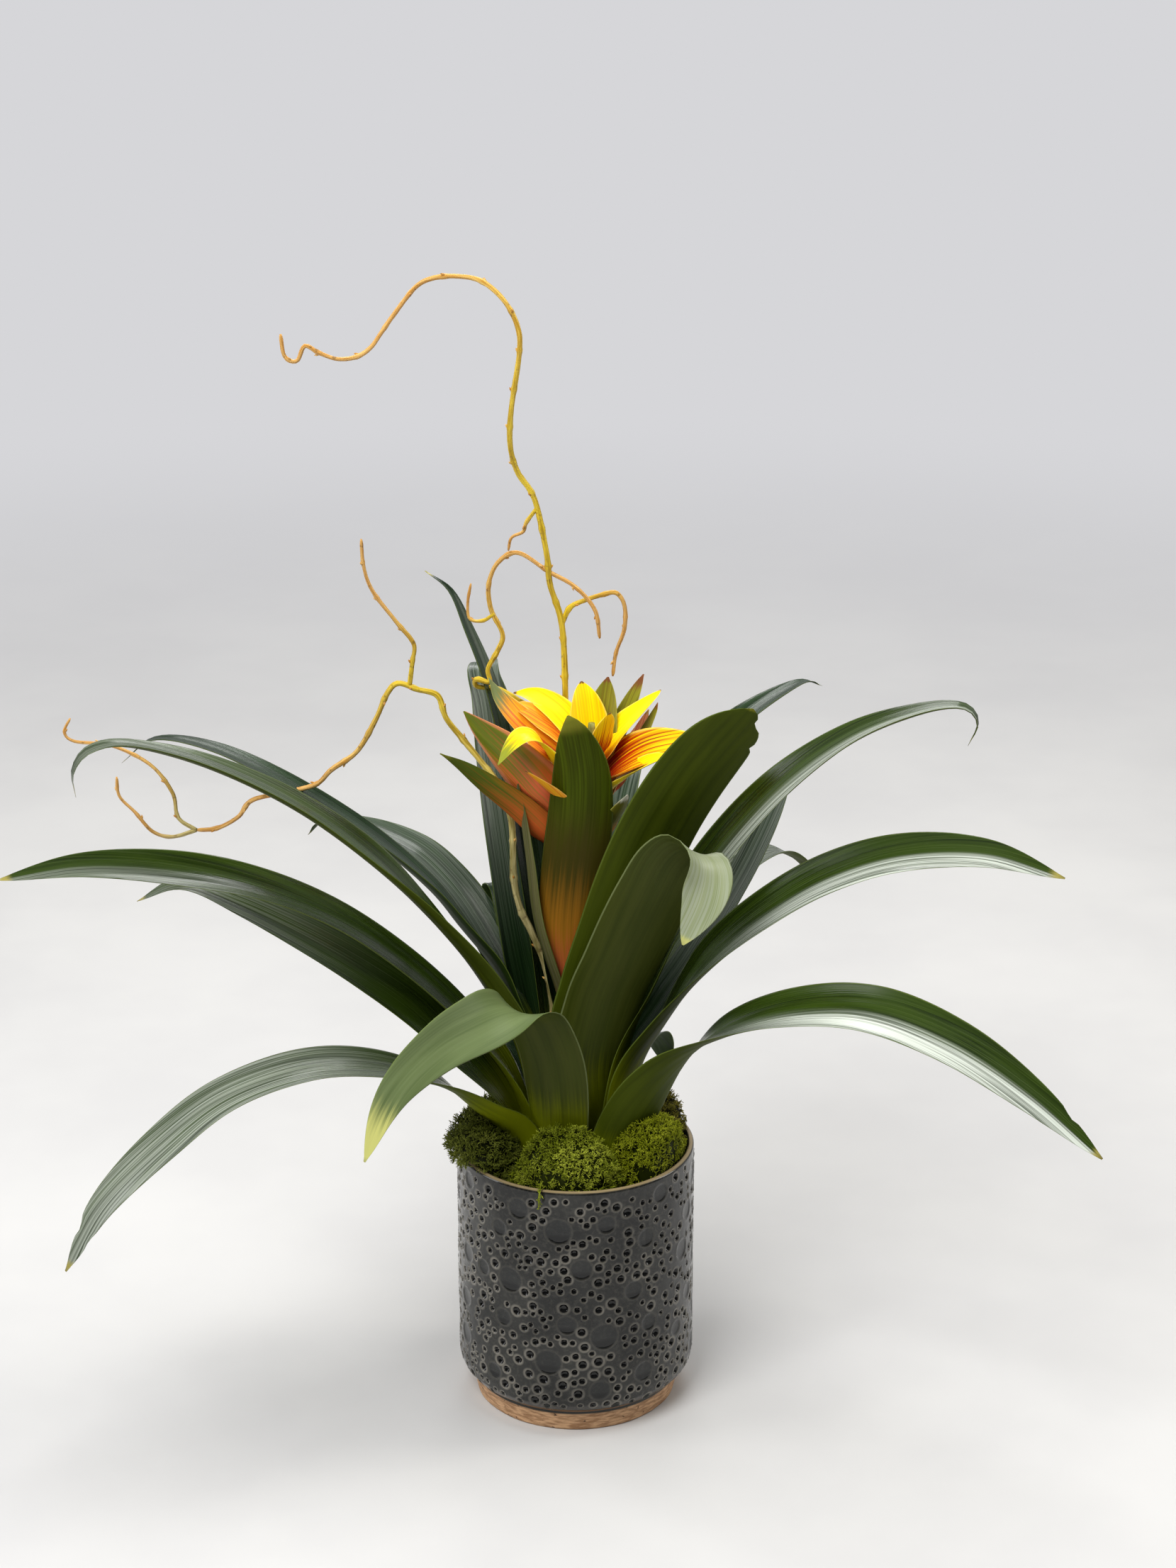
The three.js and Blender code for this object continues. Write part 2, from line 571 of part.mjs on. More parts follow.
function bladeSolid(blade, margin) {
  const turn = THREE.MathUtils.degToRad(blade.turn);
  const outward = new THREE.Vector3(Math.cos(turn), Math.sin(turn), 0);
  const sideways = new THREE.Vector3(-Math.sin(turn), Math.cos(turn), 0);
  const place = (row) => new THREE.Vector3(blade.x, 0, row[2])
    .addScaledVector(outward, row[0])
    .addScaledVector(sideways, row[1]);
  const step = 1e-3;
  const sections = evenSteps(blade.spine, blade.rows).map((t, index) => {
    const v = index / blade.rows;
    const row = curveAt(blade.spine, t);
    const ahead = place(curveAt(blade.spine, Math.min(1, t + step)));
    const along = ahead.sub(place(curveAt(blade.spine, Math.max(0, t - step)))).normalize();
    const flat = sideways.clone().addScaledVector(along, -sideways.dot(along)).normalize();
    const roll = THREE.MathUtils.degToRad(row[3]);
    const across = flat.clone().multiplyScalar(Math.cos(roll))
      .addScaledVector(new THREE.Vector3().crossVectors(along, flat), Math.sin(roll));
    const face = new THREE.Vector3().crossVectors(along, across);
    const half = Math.max(TIP_WIDTH / 2, halfWidth(blade, v));
    const curl = halfCurl(blade, v);
    const radius = half / curl;
    const reach = curl * (1 + (2 * margin) / half);
    const slim = Math.min(1, (4 * half) / blade.width);
    const end = index === 0 ? -1 : Number(index === blade.rows);
    const middle = place(row).addScaledVector(along, 2 * margin * end);
    const point = (s, side) => {
      const thick = 0.5 * blade.thickness * slim * Math.sqrt(1 - EDGE_THINNING * s * s) + margin;
      const bend = radius - side * thick;
      return middle.clone()
        .addScaledVector(across, bend * Math.sin(s * reach))
        .addScaledVector(face, radius - bend * Math.cos(s * reach));
    };
    const ring = [];
    for (let column = BLADE_COLUMNS; column >= 0; column -= 1) {
      ring.push(point((2 * column) / BLADE_COLUMNS - 1, 1));
    }
    for (let column = 0; column <= BLADE_COLUMNS; column += 1) {
      ring.push(point((2 * column) / BLADE_COLUMNS - 1, -1));
    }
    return ring;
  });
  const loft = new LoftGeometry(sections, { capStart: true, capEnd: true });
  return solidOf(matchSides(loft, blade.rows));
}

// A leaf's foot curls round the crown, so that outer leaves nest round inner ones.
function leafBlade(leaf) {
  const aside = leaf.aside ?? 0;
  const seat = Math.hypot(leaf.seat, aside);
  const foot = [leaf.seat, aside, crownHeight(seat) + GAP + 0.5, 0];
  const wrap = THREE.MathUtils.radToDeg((0.5 * leaf.width * LEAF_FOOT_WIDTH) / seat);
  return {
    x: 0, rows: 15, tip: 4, foot_width: LEAF_FOOT_WIDTH, wrap: Math.min(60, wrap),
    thickness: LEAF_THICKNESS, color: LEAF_GREEN,
    ...leaf,
    spine: [foot, ...leaf.spine],
  };
}

function bractBlade(bract) {
  const foot = [stalkRadius(bract.foot) + GAP + 0.6, 0, bract.foot, bract.spine[0][3]];
  return {
    x: stalkX(bract.foot), rows: 7, foot_width: 0.55, wrap: 65, thickness: BRACT_THICKNESS,
    ...bract,
    spine: [foot, ...bract.spine],
  };
}

// ---------------------------------------------------------------- willow

function shootSolid(shoot, margin) {
  const sides = 6;
  const points = shoot.points.map((point) => new THREE.Vector3(...point));
  const curve = new THREE.CatmullRomCurve3(points, false, "catmullrom");
  const frames = curve.computeFrenetFrames(shoot.rows, false);
  const sections = frames.tangents.map((_, row) => {
    const part = row / shoot.rows;
    const middle = curve.getPointAt(part);
    const radius = shoot.radii[0] + (shoot.radii[1] - shoot.radii[0]) * part + margin;
    return Array.from({ length: sides }, (__, side) => {
      const angle = (2 * Math.PI * side) / sides;
      return middle.clone()
        .addScaledVector(frames.normals[row], radius * Math.cos(angle))
        .addScaledVector(frames.binormals[row], radius * Math.sin(angle));
    });
  });
  return solidOf(new LoftGeometry(sections, { capStart: true, capEnd: true }));
}

function branchSolid(shoots, margin) {
  return shoots.map((shoot) => shootSolid(shoot, margin)).reduce((whole, shoot) => whole.add(shoot));
}

// ---------------------------------------------------------------- moss

// A lumpy cushion, flat where it lies on the soil.
function mossSolid(clump, margin) {
  const geometry = new THREE.SphereGeometry(1, 14, 9).rotateX(Math.PI / 2);
  const position = geometry.attributes.position;
  const point = new THREE.Vector3();
  for (let i = 0; i < position.count; i += 1) {
    point.fromBufferAttribute(position, i);
    const lump = 1 + 0.06 * Math.sin(5 * point.x + clump.at[0]) * Math.cos(4 * point.y + clump.at[1]);
    const height = clump.at[2] + (clump.size[2] + margin) * lump * point.z;
    position.setXYZ(
      i,
      clump.at[0] + (clump.size[0] + margin) * lump * point.x,
      clump.at[1] + (clump.size[1] + margin) * lump * point.y,
      Math.max(SOIL_TOP + GAP - margin, height),
    );
  }
  return solidOf(geometry);
}

// ---------------------------------------------------------------- assembly

const plant = new THREE.Group();

function addPiece(name, solid, color, roughness, metalness) {
  const material = new THREE.MeshStandardMaterial({ color, roughness, metalness });
  const mesh = new THREE.Mesh(geometryOf(solid), material);
  mesh.name = name;
  plant.add(mesh);
}

addPiece("pot", potSolid(0), 0x5b5d5d, 0.25, 0);
addPiece("potting_soil", soilSolid(), 0x3a2a1c, 0.95, 0);
addPiece("crown", crownSolid(0), 0x5d6428, 0.6, 0);
addPiece("flower_stalk", stalkSolid(0), 0x6d7a35, 0.5, 0);

// Later pieces give way to earlier ones, which are kept here with their clearance.
const cutters = [stalkSolid(GAP), crownSolid(GAP)];

for (const [name, shoots] of Object.entries(WILLOW)) {
  addPiece(name, trimmed(branchSolid(shoots, 0), cutters), 0xa8792c, 0.6, 0);
  cutters.push(branchSolid(shoots, GAP));
}

const blades = [
  ...Object.entries(BRACTS).map(([name, bract]) => [name, bractBlade(bract)]),
  ...Object.entries(LEAVES).map(([name, leaf]) => [name, leafBlade(leaf)]),
];
for (const [name, blade] of blades) {
  const whole = bladeSolid(blade, 0);
  addPiece(name, trimmed(whole, cutters), blade.color, 0.4, 0);
  cutters.push(bladeSolid(blade, GAP).add(whole));
}

cutters.push(potSolid(GAP));
for (const [name, clump] of Object.entries(MOSS)) {
  addPiece(name, trimmed(mossSolid(clump, 0), cutters), 0x6f7d1e, 0.95, 0);
  cutters.push(mossSolid(clump, GAP));
}

export default plant;
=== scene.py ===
# A flowering bromeliad in a crater-glazed pot, with curly willow branches and moss.
# Tables and shapes are in millimetres and degrees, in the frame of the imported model.
import math

import bpy
import numpy as np
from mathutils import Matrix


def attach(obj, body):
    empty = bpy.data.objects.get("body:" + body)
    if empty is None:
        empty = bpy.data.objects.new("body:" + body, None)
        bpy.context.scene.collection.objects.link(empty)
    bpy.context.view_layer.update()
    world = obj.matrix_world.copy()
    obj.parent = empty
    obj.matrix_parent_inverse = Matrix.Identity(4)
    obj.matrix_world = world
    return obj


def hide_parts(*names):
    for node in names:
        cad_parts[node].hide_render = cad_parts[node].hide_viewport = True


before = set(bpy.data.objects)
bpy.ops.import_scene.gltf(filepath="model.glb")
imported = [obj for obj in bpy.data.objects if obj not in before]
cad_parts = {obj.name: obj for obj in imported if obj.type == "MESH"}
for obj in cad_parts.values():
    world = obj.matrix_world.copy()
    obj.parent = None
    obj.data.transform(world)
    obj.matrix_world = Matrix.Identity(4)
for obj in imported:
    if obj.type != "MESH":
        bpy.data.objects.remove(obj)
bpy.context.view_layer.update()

MM = 0.001
SEED = 7

# The pot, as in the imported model.
POT_HEIGHT = 173
POT_RADIUS = 75
POT_WALL = 4.5
POT_FLOOR = 9
FOOT_RADIUS = 64
CLAY_HEIGHT = 15
CLAY_RADIUS = 66
SHOULDER_HEIGHT = 29

# The soil, the crown and the flower stalk.
SOIL_TOP = 153
CRUMBS = 1500
CROWN_RADIUS = 35
CROWN_EDGE = 160
CROWN_TOP_RADIUS = 14.5
CROWN_TOP = 187
STALK_FOOT = 191
STALK_RADIUS = 6
STALK_LEAN = 10
STALK_LEAN_HEIGHT = 150
HEAD_FOOT = 390
HEAD_TOP = 452
HEAD_TIP_RADIUS = 2

# Clearance between touching pieces, and the blades' greatest thickness.
GAP = 0.3
LEAF_THICKNESS = 1.6
BRACT_THICKNESS = 1.0
TIP_WIDTH = 1.2

# Each leaf: turn is the way it grows, in degrees from +X towards +Y; seat is the radius of its foot on the
# crown, and aside is how far the foot stands sideways; cup is half of the angle that the blade curls
# through; a low tip number gives a long point. A spine point is (outward, height), (outward, height, roll)
# or (outward, sideways, height, roll), where roll turns the blade about its own midrib. The rest is its
# look: a painted silvery sheen that stands in for reflected light, where it starts and which half it lies
# on, how far its base colour reaches and where its dry tip starts.
LEAVES = {
    "leaf_back_tall": dict(
        turn=150, seat=15, width=22, cup=35, look="back_shade",
        spine=[(24, 270), (38, 362), (50, 425), (62, 469), (76, 500), (88, 522), (106, 532)],
    ),
    "leaf_right_torn": dict(
        turn=318, seat=16.5, width=50, cup=26, tip=16, wave=0.25, tip_from=0.999,
        notches=[(0.965, 0.014, 1, 0.34), (0.9, 0.008, 1, 0.12)],
        spine=[(14, -5, 250, -20), (21, -1, 285, -30), (31, 3, 318, -38), (45, 4, 356, -40),
            (62, 5, 393, -40), (84, 4, 428, -40), (108, 4, 460, -40), (135, 4, 491, -40)],
    ),
    "leaf_back_arched": dict(
        turn=118, seat=18.5, width=42, cup=25, look="back_shade", painted_sheen=0.15,
        spine=[(36, 6, 255, 0), (44, 13, 305, 0), (58, 15, 357, 0), (70, 14, 387, 0), (84, 12, 414, 0),
            (98, 9, 437, 0), (111, 7, 451, 0), (128, -4, 453, 0), (142, -16, 437, 0)],
    ),
    "leaf_right_curled": dict(
        turn=45, seat=16, width=34, cup=40, look="back_shade",
        spine=[(26, 255), (56, 330), (94, 380), (126, 407), (160, 421), (206, 429), (227, 422)],
    ),
    "leaf_left_back": dict(
        turn=172, seat=16.5, width=38, cup=30, look="back_shade",
        spine=[(24, 230, 15), (37, 262, 12), (52, 289, 25), (72, 315, 20), (92, 340, 15), (130, 372, 10),
            (182, 404, 5), (225, 424, 5), (262, 429, 5), (284, 412)],
    ),
    "leaf_right_arched": dict(
        turn=350, seat=23, width=40, cup=35, painted_sheen=0.6, sheen_side=-1,
        spine=[(33, 1, 237, 0), (49, 1, 287, 20), (68, 336, 28), (95, 380, 30), (128, 420, 25),
            (168, 453, 15), (206, 471, 5), (232, 476), (242, 467), (237, 452)],
    ),
    "leaf_left_arched": dict(
        turn=198, seat=24.5, width=42, cup=38, painted_sheen=0.12, sheen_from=0.5,
        spine=[(36, 240, 10), (60, 290, 10), (94, 338), (130, 379, -10), (175, 418, -5), (225, 449),
            (270, 467, 5), (294, 467), (305, 455), (304, 439)],
    ),
    "leaf_left_bent": dict(
        turn=148, seat=21.5, width=40, cup=30, look="back_shade", painted_sheen=0.15,
        spine=[(41, 255), (58, 285), (78, 312), (98, 331), (122, 345), (160, 352), (190, 350), (204, 338)],
    ),
    "leaf_right_folded": dict(
        turn=312, seat=20.5, width=52, cup=24, tip=6, look="folded_sheen", wave=0.2, folds=0.03, painted_sheen=0.35,
        sheen_from=0.55,
        spine=[(24, -8, 234, -20), (32, -3, 278, -28), (44, 1, 308, -32), (57, 2, 335, -35),
            (73, 1, 363, -35), (88, 387, -34), (103, 398, -34), (115, 1, 392, -8), (118, -5, 373, 34),
            (114, -17, 347, 44)],
    ),
    "leaf_left_long": dict(
        turn=195, seat=26.5, width=42, cup=32, painted_sheen=0.2, sheen_from=0.5, sheen_side=1,
        spine=[(45, 225, -10), (75, 267, -12), (110, 305, -12), (150, 338, -12), (195, 363, -15),
            (245, 380, -25), (300, 389, -30), (350, 386, -35)],
    ),
    "leaf_right_back": dict(
        turn=25, seat=25.5, width=38, cup=30, look="back_shade", painted_sheen=0.15,
        spine=[(40, 224), (61, 253), (86, 285), (108, 318), (125, 346), (140, 376), (152, 407)],
    ),
    "leaf_back_bent": dict(
        turn=127, seat=23.5, width=32, cup=25, look="back_shade",
        spine=[(36, 227), (52, 265), (67, 298), (79, 319), (88, 317), (90, 293)],
    ),
    "leaf_back_right": dict(
        turn=80, seat=24.5, width=40, cup=28, look="back_shade", painted_sheen=0.1,
        spine=[(40, 230), (70, 295), (112, 345), (165, 367), (220, 363), (262, 335)],
    ),
    "leaf_left_under": dict(
        turn=185, seat=28.5, width=46, cup=30, painted_sheen=0.12, sheen_from=0.4,
        spine=[(50, 210, -15), (75, 243, -30), (100, 273, -40), (130, 297, -38), (165, 320, -32),
            (205, 342, -20), (240, 355, -5), (268, 345)],
    ),
    "leaf_front_folded": dict(
        turn=245, seat=28.5, width=44, cup=22, tip=3, look="folded_soft_sheen", wave=0.3, folds=0.05, base=0.3,
        tip_from=0.8,
        spine=[(42, 6, 216, 5), (51, 7, 248, 8), (61, 3, 275, 8), (70, 287), (83, -7, 292, -25),
            (105, -17, 291, -50), (131, -27, 287, -58), (157, -37, 275, -52), (174, -43, 259, -45),
            (190, -47, 233, -40)],
    ),
    "leaf_right_long": dict(
        turn=342, seat=29.5, width=42, cup=38, painted_sheen=0.8, sheen_from=0.3, sheen_side=-1, tip_from=0.96,
        spine=[(38, 221, -12), (59, 263), (87, 306, 18), (120, 340, 26), (160, 370, 30), (205, 390, 34),
            (255, 397, 40), (302, 388, 40)],
    ),
    "leaf_right_drooping": dict(
        turn=50, seat=28.5, width=38, cup=30, painted_sheen=0.2,
        spine=[(50, 230), (91, 278), (142, 302), (195, 309), (228, 296), (252, 273)],
    ),
    "leaf_back_left": dict(
        turn=104, seat=27.5, width=40, cup=28, look="back_shade", painted_sheen=0.1,
        spine=[(42, 220), (74, 267), (112, 297), (152, 305), (190, 291), (216, 261)],
    ),
    "leaf_left_drooping": dict(
        turn=208, seat=33.5, aside=6, width=38, cup=28, painted_sheen=0.42, sheen_from=0.25, base=0.36,
        notches=[(0.93, 0.012, -1, 0.3), (0.94, 0.01, 1, 0.2)],
        spine=[(46, 4, 189, 35), (66, 1, 208, 20), (97, 234), (140, 253, -10), (185, 261, -10),
            (235, 254, -10), (275, 233, -20), (315, 202, -30), (340, 165, -35)],
    ),
    "leaf_right_low": dict(
        turn=326, seat=33.5, aside=-12, width=42, cup=38, painted_sheen=0.95, sheen_from=0.25, sheen_side=-1,
        base=0.12, notches=[(0.93, 0.01, 1, 0.25)],
        spine=[(45, -9, 197, -40), (70, -3, 238, -20), (105, 271, 8), (155, 298, 20), (210, 312, 28),
            (265, 306, 36), (315, 287, 45), (362, 260, 45)],
    ),
    "leaf_back_low": dict(
        turn=90, seat=31.5, width=38, cup=28, look="back_shade",
        spine=[(50, 205), (90, 240), (140, 255), (190, 243), (228, 211)],
    ),
    "leaf_back_low_left": dict(
        turn=128, seat=33.5, width=38, cup=28, look="back_shade",
        spine=[(50, 195), (85, 213), (120, 215), (146, 197), (162, 171)],
    ),
    "leaf_back_low_right": dict(
        turn=64, seat=33.5, width=36, cup=28, look="back_shade",
        spine=[(48, 191), (74, 205), (102, 205), (124, 189), (138, 167)],
    ),
}

# Each bract: foot is the height on the stalk where it grows; the rest is as for the leaves.
BRACTS = {
    "bract_center": dict(
        turn=110, foot=433, width=28, cup=35, tip=3, look="yellow", base=0.5, tip_from=0.93,
        spine=[(7, 448), (12, 462), (18, 473)],
    ),
    "bract_streaked": dict(
        turn=310, foot=429, width=20, cup=30, tip=4, look="flamed", base=0.95, tip_from=0.94,
        spine=[(10, 440), (14, 452), (17, 463)],
    ),
    "bract_right_up": dict(
        turn=30, foot=421, width=26, cup=35, tip=2.5, look="yellow", base=0.5, tip_from=0.96,
        spine=[(12, 435), (23, 446), (35, 455), (49, 465)],
    ),
    "bract_left_up": dict(
        turn=150, foot=421, width=26, cup=30, tip=2.5, look="yellow", base=0.5, tip_from=0.94,
        spine=[(10, 441, -10), (22, 454, -20), (35, 461, -25), (45, 463, -25), (55, 462, -25)],
    ),
    "bract_back": dict(
        turn=44, foot=397, width=24, cup=30, tip=2.5, look="salmon", base=0.5,
        spine=[(17, 408), (30, 421), (42, 435), (49, 449)],
    ),
    "bract_right_long": dict(
        turn=342, foot=402, width=42, cup=50, tip=2.5, look="flamed", base=0.95, tip_from=0.93,
        spine=[(12, 418, 15), (23, 428, 25), (36, 436, 30), (50, 441, 30), (63, 444, 28), (76, 445, 25)],
    ),
    "bract_left_inner": dict(
        turn=168, foot=415, width=28, cup=35, tip=2.5, look="orange", base=0.6, tip_from=0.93,
        spine=[(12, 435, -15), (20, 445, -25), (31, 452, -25), (42, 458, -25), (52, 460, -20)],
    ),
    "bract_left_pointed": dict(
        turn=178, foot=407, width=32, cup=40, tip=2.5, look="orange_green", base=0.6, tip_from=0.6,
        spine=[(14, 425, -20), (28, 438, -30), (41, 449, -30), (51, 460, -30), (58, 470, -30),
            (62, 480, -20)],
    ),
    "bract_back_green": dict(
        turn=72, foot=417, width=26, cup=30, tip=3, look="dull", base=0.3,
        spine=[(12, 431), (19, 446), (27, 460), (33, 471)],
    ),
    "bract_back_brown": dict(
        turn=51, foot=407, width=20, cup=35, tip=2.5, look="dull", base=0.3, tip_from=0.75,
        spine=[(14, 423), (28, 441), (40, 457), (51, 470)],
    ),
    "bract_back_left": dict(
        turn=130, foot=403, width=24, cup=30, tip=2.5, look="salmon", base=0.5, tip_from=0.8,
        spine=[(15, 423), (29, 437), (44, 443), (58, 441)],
    ),
    "bract_front_left": dict(
        turn=215, foot=393, width=28, cup=30, tip=2.5, look="yellow_green", base=0.55, tip_from=0.7,
        spine=[(15, 413), (25, 429), (33, 441, -10), (41, 450, -15), (50, 453, -15), (59, 448, -10),
            (68, 439)],
    ),
    "bract_front_right": dict(
        turn=324, foot=396, width=28, cup=40, tip=2.5, look="yellow", base=0.5, tip_from=0.93,
        spine=[(14, 411, 5), (25, 422, 15), (36, 431, 20), (47, 438, 20), (58, 443, 15)],
    ),
    "bract_right_green": dict(
        turn=20, foot=391, width=22, cup=35, tip=2.5, look="dull", base=0.7,
        spine=[(16, 413), (26, 427), (34, 439), (41, 454), (43, 460)],
    ),
    "bract_left_small": dict(
        turn=224, foot=387, width=20, cup=35, tip=2.5, look="orange", base=0.7, tip_from=0.95,
        spine=[(14, 398), (27, 410), (41, 423), (55, 435)],
    ),
    "bract_front": dict(
        turn=262, foot=381, width=22, cup=35, tip=2.5, look="salmon", base=0.6,
        spine=[(11, 398), (14, 413), (17, 426)],
    ),
    "bract_left_green": dict(
        turn=200, foot=369, width=38, cup=32, tip=2.5, look="green", base=1.1, tip_from=0.97,
        spine=[(14, 387, 45), (25, 404, 60), (34, 414, 65), (45, 428, 65), (57, 442, 65), (70, 456, 60),
            (81, 469, 50)],
    ),
    "bract_right_small": dict(
        turn=314, foot=373, width=24, cup=35, tip=3, look="olive", base=0.7, tip_from=0.8,
        spine=[(16, 389), (24, 401), (31, 414)],
    ),
    "stalk_leaf_long": dict(
        turn=195, foot=341, width=25, cup=40, tip=2.5, look="stalk_rust", base=1.1,
        spine=[(15, 365, 30), (31, 385, 60), (47, 402, 65), (64, 417, 65), (80, 431, 60), (94, 441, 50)],
    ),
    "stalk_leaf_front": dict(
        turn=265, foot=267, width=43, cup=30, tip=7, thickness=LEAF_THICKNESS, look="stalk_front",
        base=0.12,
        spine=[(9, -6, 288, 0), (13, -8, 320, 0), (18, -5, 357, 0), (24, 400), (29, 1, 430, 0),
            (34, -2, 455, 0), (36, -6, 469, 0)],
    ),
    "stalk_leaf_left": dict(
        turn=190, foot=245, width=26, cup=45, tip=3, look="stalk_grey", base=0.3,
        spine=[(15, 277), (28, 323), (33, 367), (37, 400), (41, 423), (43, 443)],
    ),
    "stalk_leaf_back": dict(
        turn=140, foot=227, width=32, cup=35, tip=3, look="back_shade", base=0.3,
        spine=[(13, 265), (20, 297), (27, 340), (33, 373), (38, 407)],
    ),
}

# Curly willow: each branch is a main shoot with side shoots, with (x, y, z) points and end radii.
WILLOW = {
    "willow_tall": [
        dict(
            radii=(2.4, 1.2),
            points=[(2, 11, 195), (4, 12, 245), (5, 13, 305), (0, 17, 375), (-6, 22, 435), (-6, 24, 467),
                (-8, 24, 507), (-15, 22, 533), (-17, 20, 553), (-24, 18, 587), (-34, 14, 605),
                (-38, 8, 623), (-37, 2, 646), (-32, -2, 680), (-33, -2, 696), (-41, 0, 711), (-54, 5, 721),
                (-69, 9, 723), (-83, 12, 721), (-93, 14, 715), (-105, 13, 700), (-113, 11, 689),
                (-119, 9, 681), (-127, 7, 676), (-138, 5, 675), (-149, 4, 679), (-157, 4, 683),
                (-162, 4, 674), (-169, 4, 677), (-171, 4, 690)],
        ),
        dict(
            radii=(1.6, 1.1),
            points=[(-8, 24, 507), (-3, 26, 517), (6, 28, 521), (17, 30, 524), (25, 30, 525), (30, 30, 517),
                (30, 30, 502), (25, 30, 487), (23, 30, 472)],
        ),
        dict(
            radii=(1.2, 0.9),
            points=[(-23, 18, 581), (-29, 20, 572), (-31, 21, 566), (-38, 22, 562), (-40, 22, 554)],
        ),
    ],
    "willow_middle": [
        dict(
            radii=(2.2, 1.2),
            points=[(-6, 10, 195), (-9, 19, 265), (-10, 26, 335), (-14, 28, 400), (-24, 29, 445),
                (-36, 28, 458), (-49, 30, 464), (-60, 28, 466), (-60, 24, 472), (-52, 22, 471),
                (-53, 23, 479), (-47, 25, 490), (-44, 26, 500), (-51, 27, 516), (-52, 26, 532),
                (-46, 25, 546), (-34, 24, 552), (-16, 22, 541), (0, 20, 532), (12, 18, 518), (15, 18, 500)],
        ),
        dict(
            radii=(1.1, 0.8),
            points=[(-49, 26, 513), (-56, 28, 508), (-64, 29, 509), (-65, 30, 519), (-63, 30, 531)],
        ),
    ],
    "willow_left": [
        dict(
            radii=(2.5, 1.3),
            points=[(-8, 6, 195), (-12, 8, 245), (-18, 6, 287), (-27, 4, 313), (-34, 4, 329), (-38, 5, 350),
                (-39, 7, 385), (-47, 13, 407), (-57, 20, 419), (-70, 23, 435), (-79, 24, 447),
                (-84, 25, 461), (-96, 25, 465), (-108, 25, 469), (-115, 25, 462), (-122, 25, 446),
                (-134, 25, 425), (-150, 25, 413), (-160, 26, 403), (-180, 27, 397), (-200, 27, 392),
                (-209, 27, 381), (-222, 26, 374), (-235, 25, 373)],
        ),
        dict(
            radii=(1.3, 0.9),
            points=[(-235, 25, 373), (-250, 24, 369), (-262, 23, 373), (-272, 22, 386), (-281, 21, 397),
                (-282, 20, 410)],
        ),
        dict(
            radii=(1.3, 0.9),
            points=[(-235, 25, 373), (-246, 26, 381), (-249, 27, 397), (-262, 28, 415), (-285, 29, 427),
                (-308, 29, 430), (-314, 29, 436), (-310, 29, 445)],
        ),
        dict(
            radii=(1.5, 1.0),
            points=[(-101, 25, 468), (-99, 24, 483), (-98, 23, 495), (-108, 22, 509), (-122, 21, 529),
                (-127, 20, 545), (-128, 19, 562)],
        ),
    ],
}

# Moss clumps: middle (x, y, z) and half sizes, resting on the soil, with the dark colour of the painted
# shade in their depths, and the colours on their sides and at their tips.
MOSS = {
    "moss_left": dict(
        at=(-57, -16, 173), size=(24, 32, 27), colors=[(28, 32, 8), (90, 98, 30), (142, 148, 62)],
    ),
    "moss_front": dict(
        at=(-5, -50, 173), size=(30, 20.5, 31), colors=[(34, 40, 5), (112, 122, 22), (178, 186, 64)],
    ),
    "moss_right": dict(
        at=(46, -27, 172), size=(23.5, 26, 30), colors=[(34, 40, 5), (128, 136, 20), (188, 194, 56)],
    ),
    "moss_back_right": dict(
        at=(54, 22, 170), size=(21, 27, 23), colors=[(26, 24, 6), (100, 96, 32), (150, 140, 56)],
    ),
    "moss_back": dict(
        at=(5, 52, 169), size=(34, 18, 23), colors=[(22, 26, 5), (106, 116, 28), (160, 166, 54)],
    ),
    "moss_back_left": dict(
        at=(-44, 36, 168), size=(22, 22, 23), colors=[(22, 26, 5), (102, 112, 28), (154, 160, 52)],
    ),
}
# The bumps on a clump, which stand out and get a painted highlight: [x, y, z, reach].
MOSS_BUMPS = {"moss_front": [[2, -64, 192, 11], [16, -62, 190, 8]]}

# How far the left clump and its heart may reach over the rim, and the tuft that hangs over the rim in
# front: its strands and their middle line.
MOSS_OVERHANG = 81
HEART_OVERHANG = 90
TUFT_STRANDS = 5
RIM_TUFT = [
    (-20, -67, 176), (-21, -70, 175.5), (-22, -74.5, 174.5), (-22, -76.2, 172), (-22.5, -76.6, 168.5),
    (-22, -76.4, 165),
]

# Tries that place a clump's cushions, stems on each cushion, the length, radius and number of the twigs at
# each fork, and how finely the heart of a clump is built.
LUMP_TRIES = 1500
MOSS_STEMS = 22
MOSS_FORKS = [(1.9, 0.3, 1), (2.0, 0.28, 3), (1.9, 0.25, 2)]
HEART_ROWS, HEART_SIDES = 20, 40


# ---------------------------------------------------------------- colours and shader nodes


def tint(red, green, blue):
    """A colour given in sRGB from 0 to 255, as the shaders want it."""
    parts = [value / 255 for value in (red, green, blue)]
    linear = [p / 12.92 if p <= 0.04045 else ((p + 0.055) / 1.055) ** 2.4 for p in parts]
    return (*linear, 1.0)


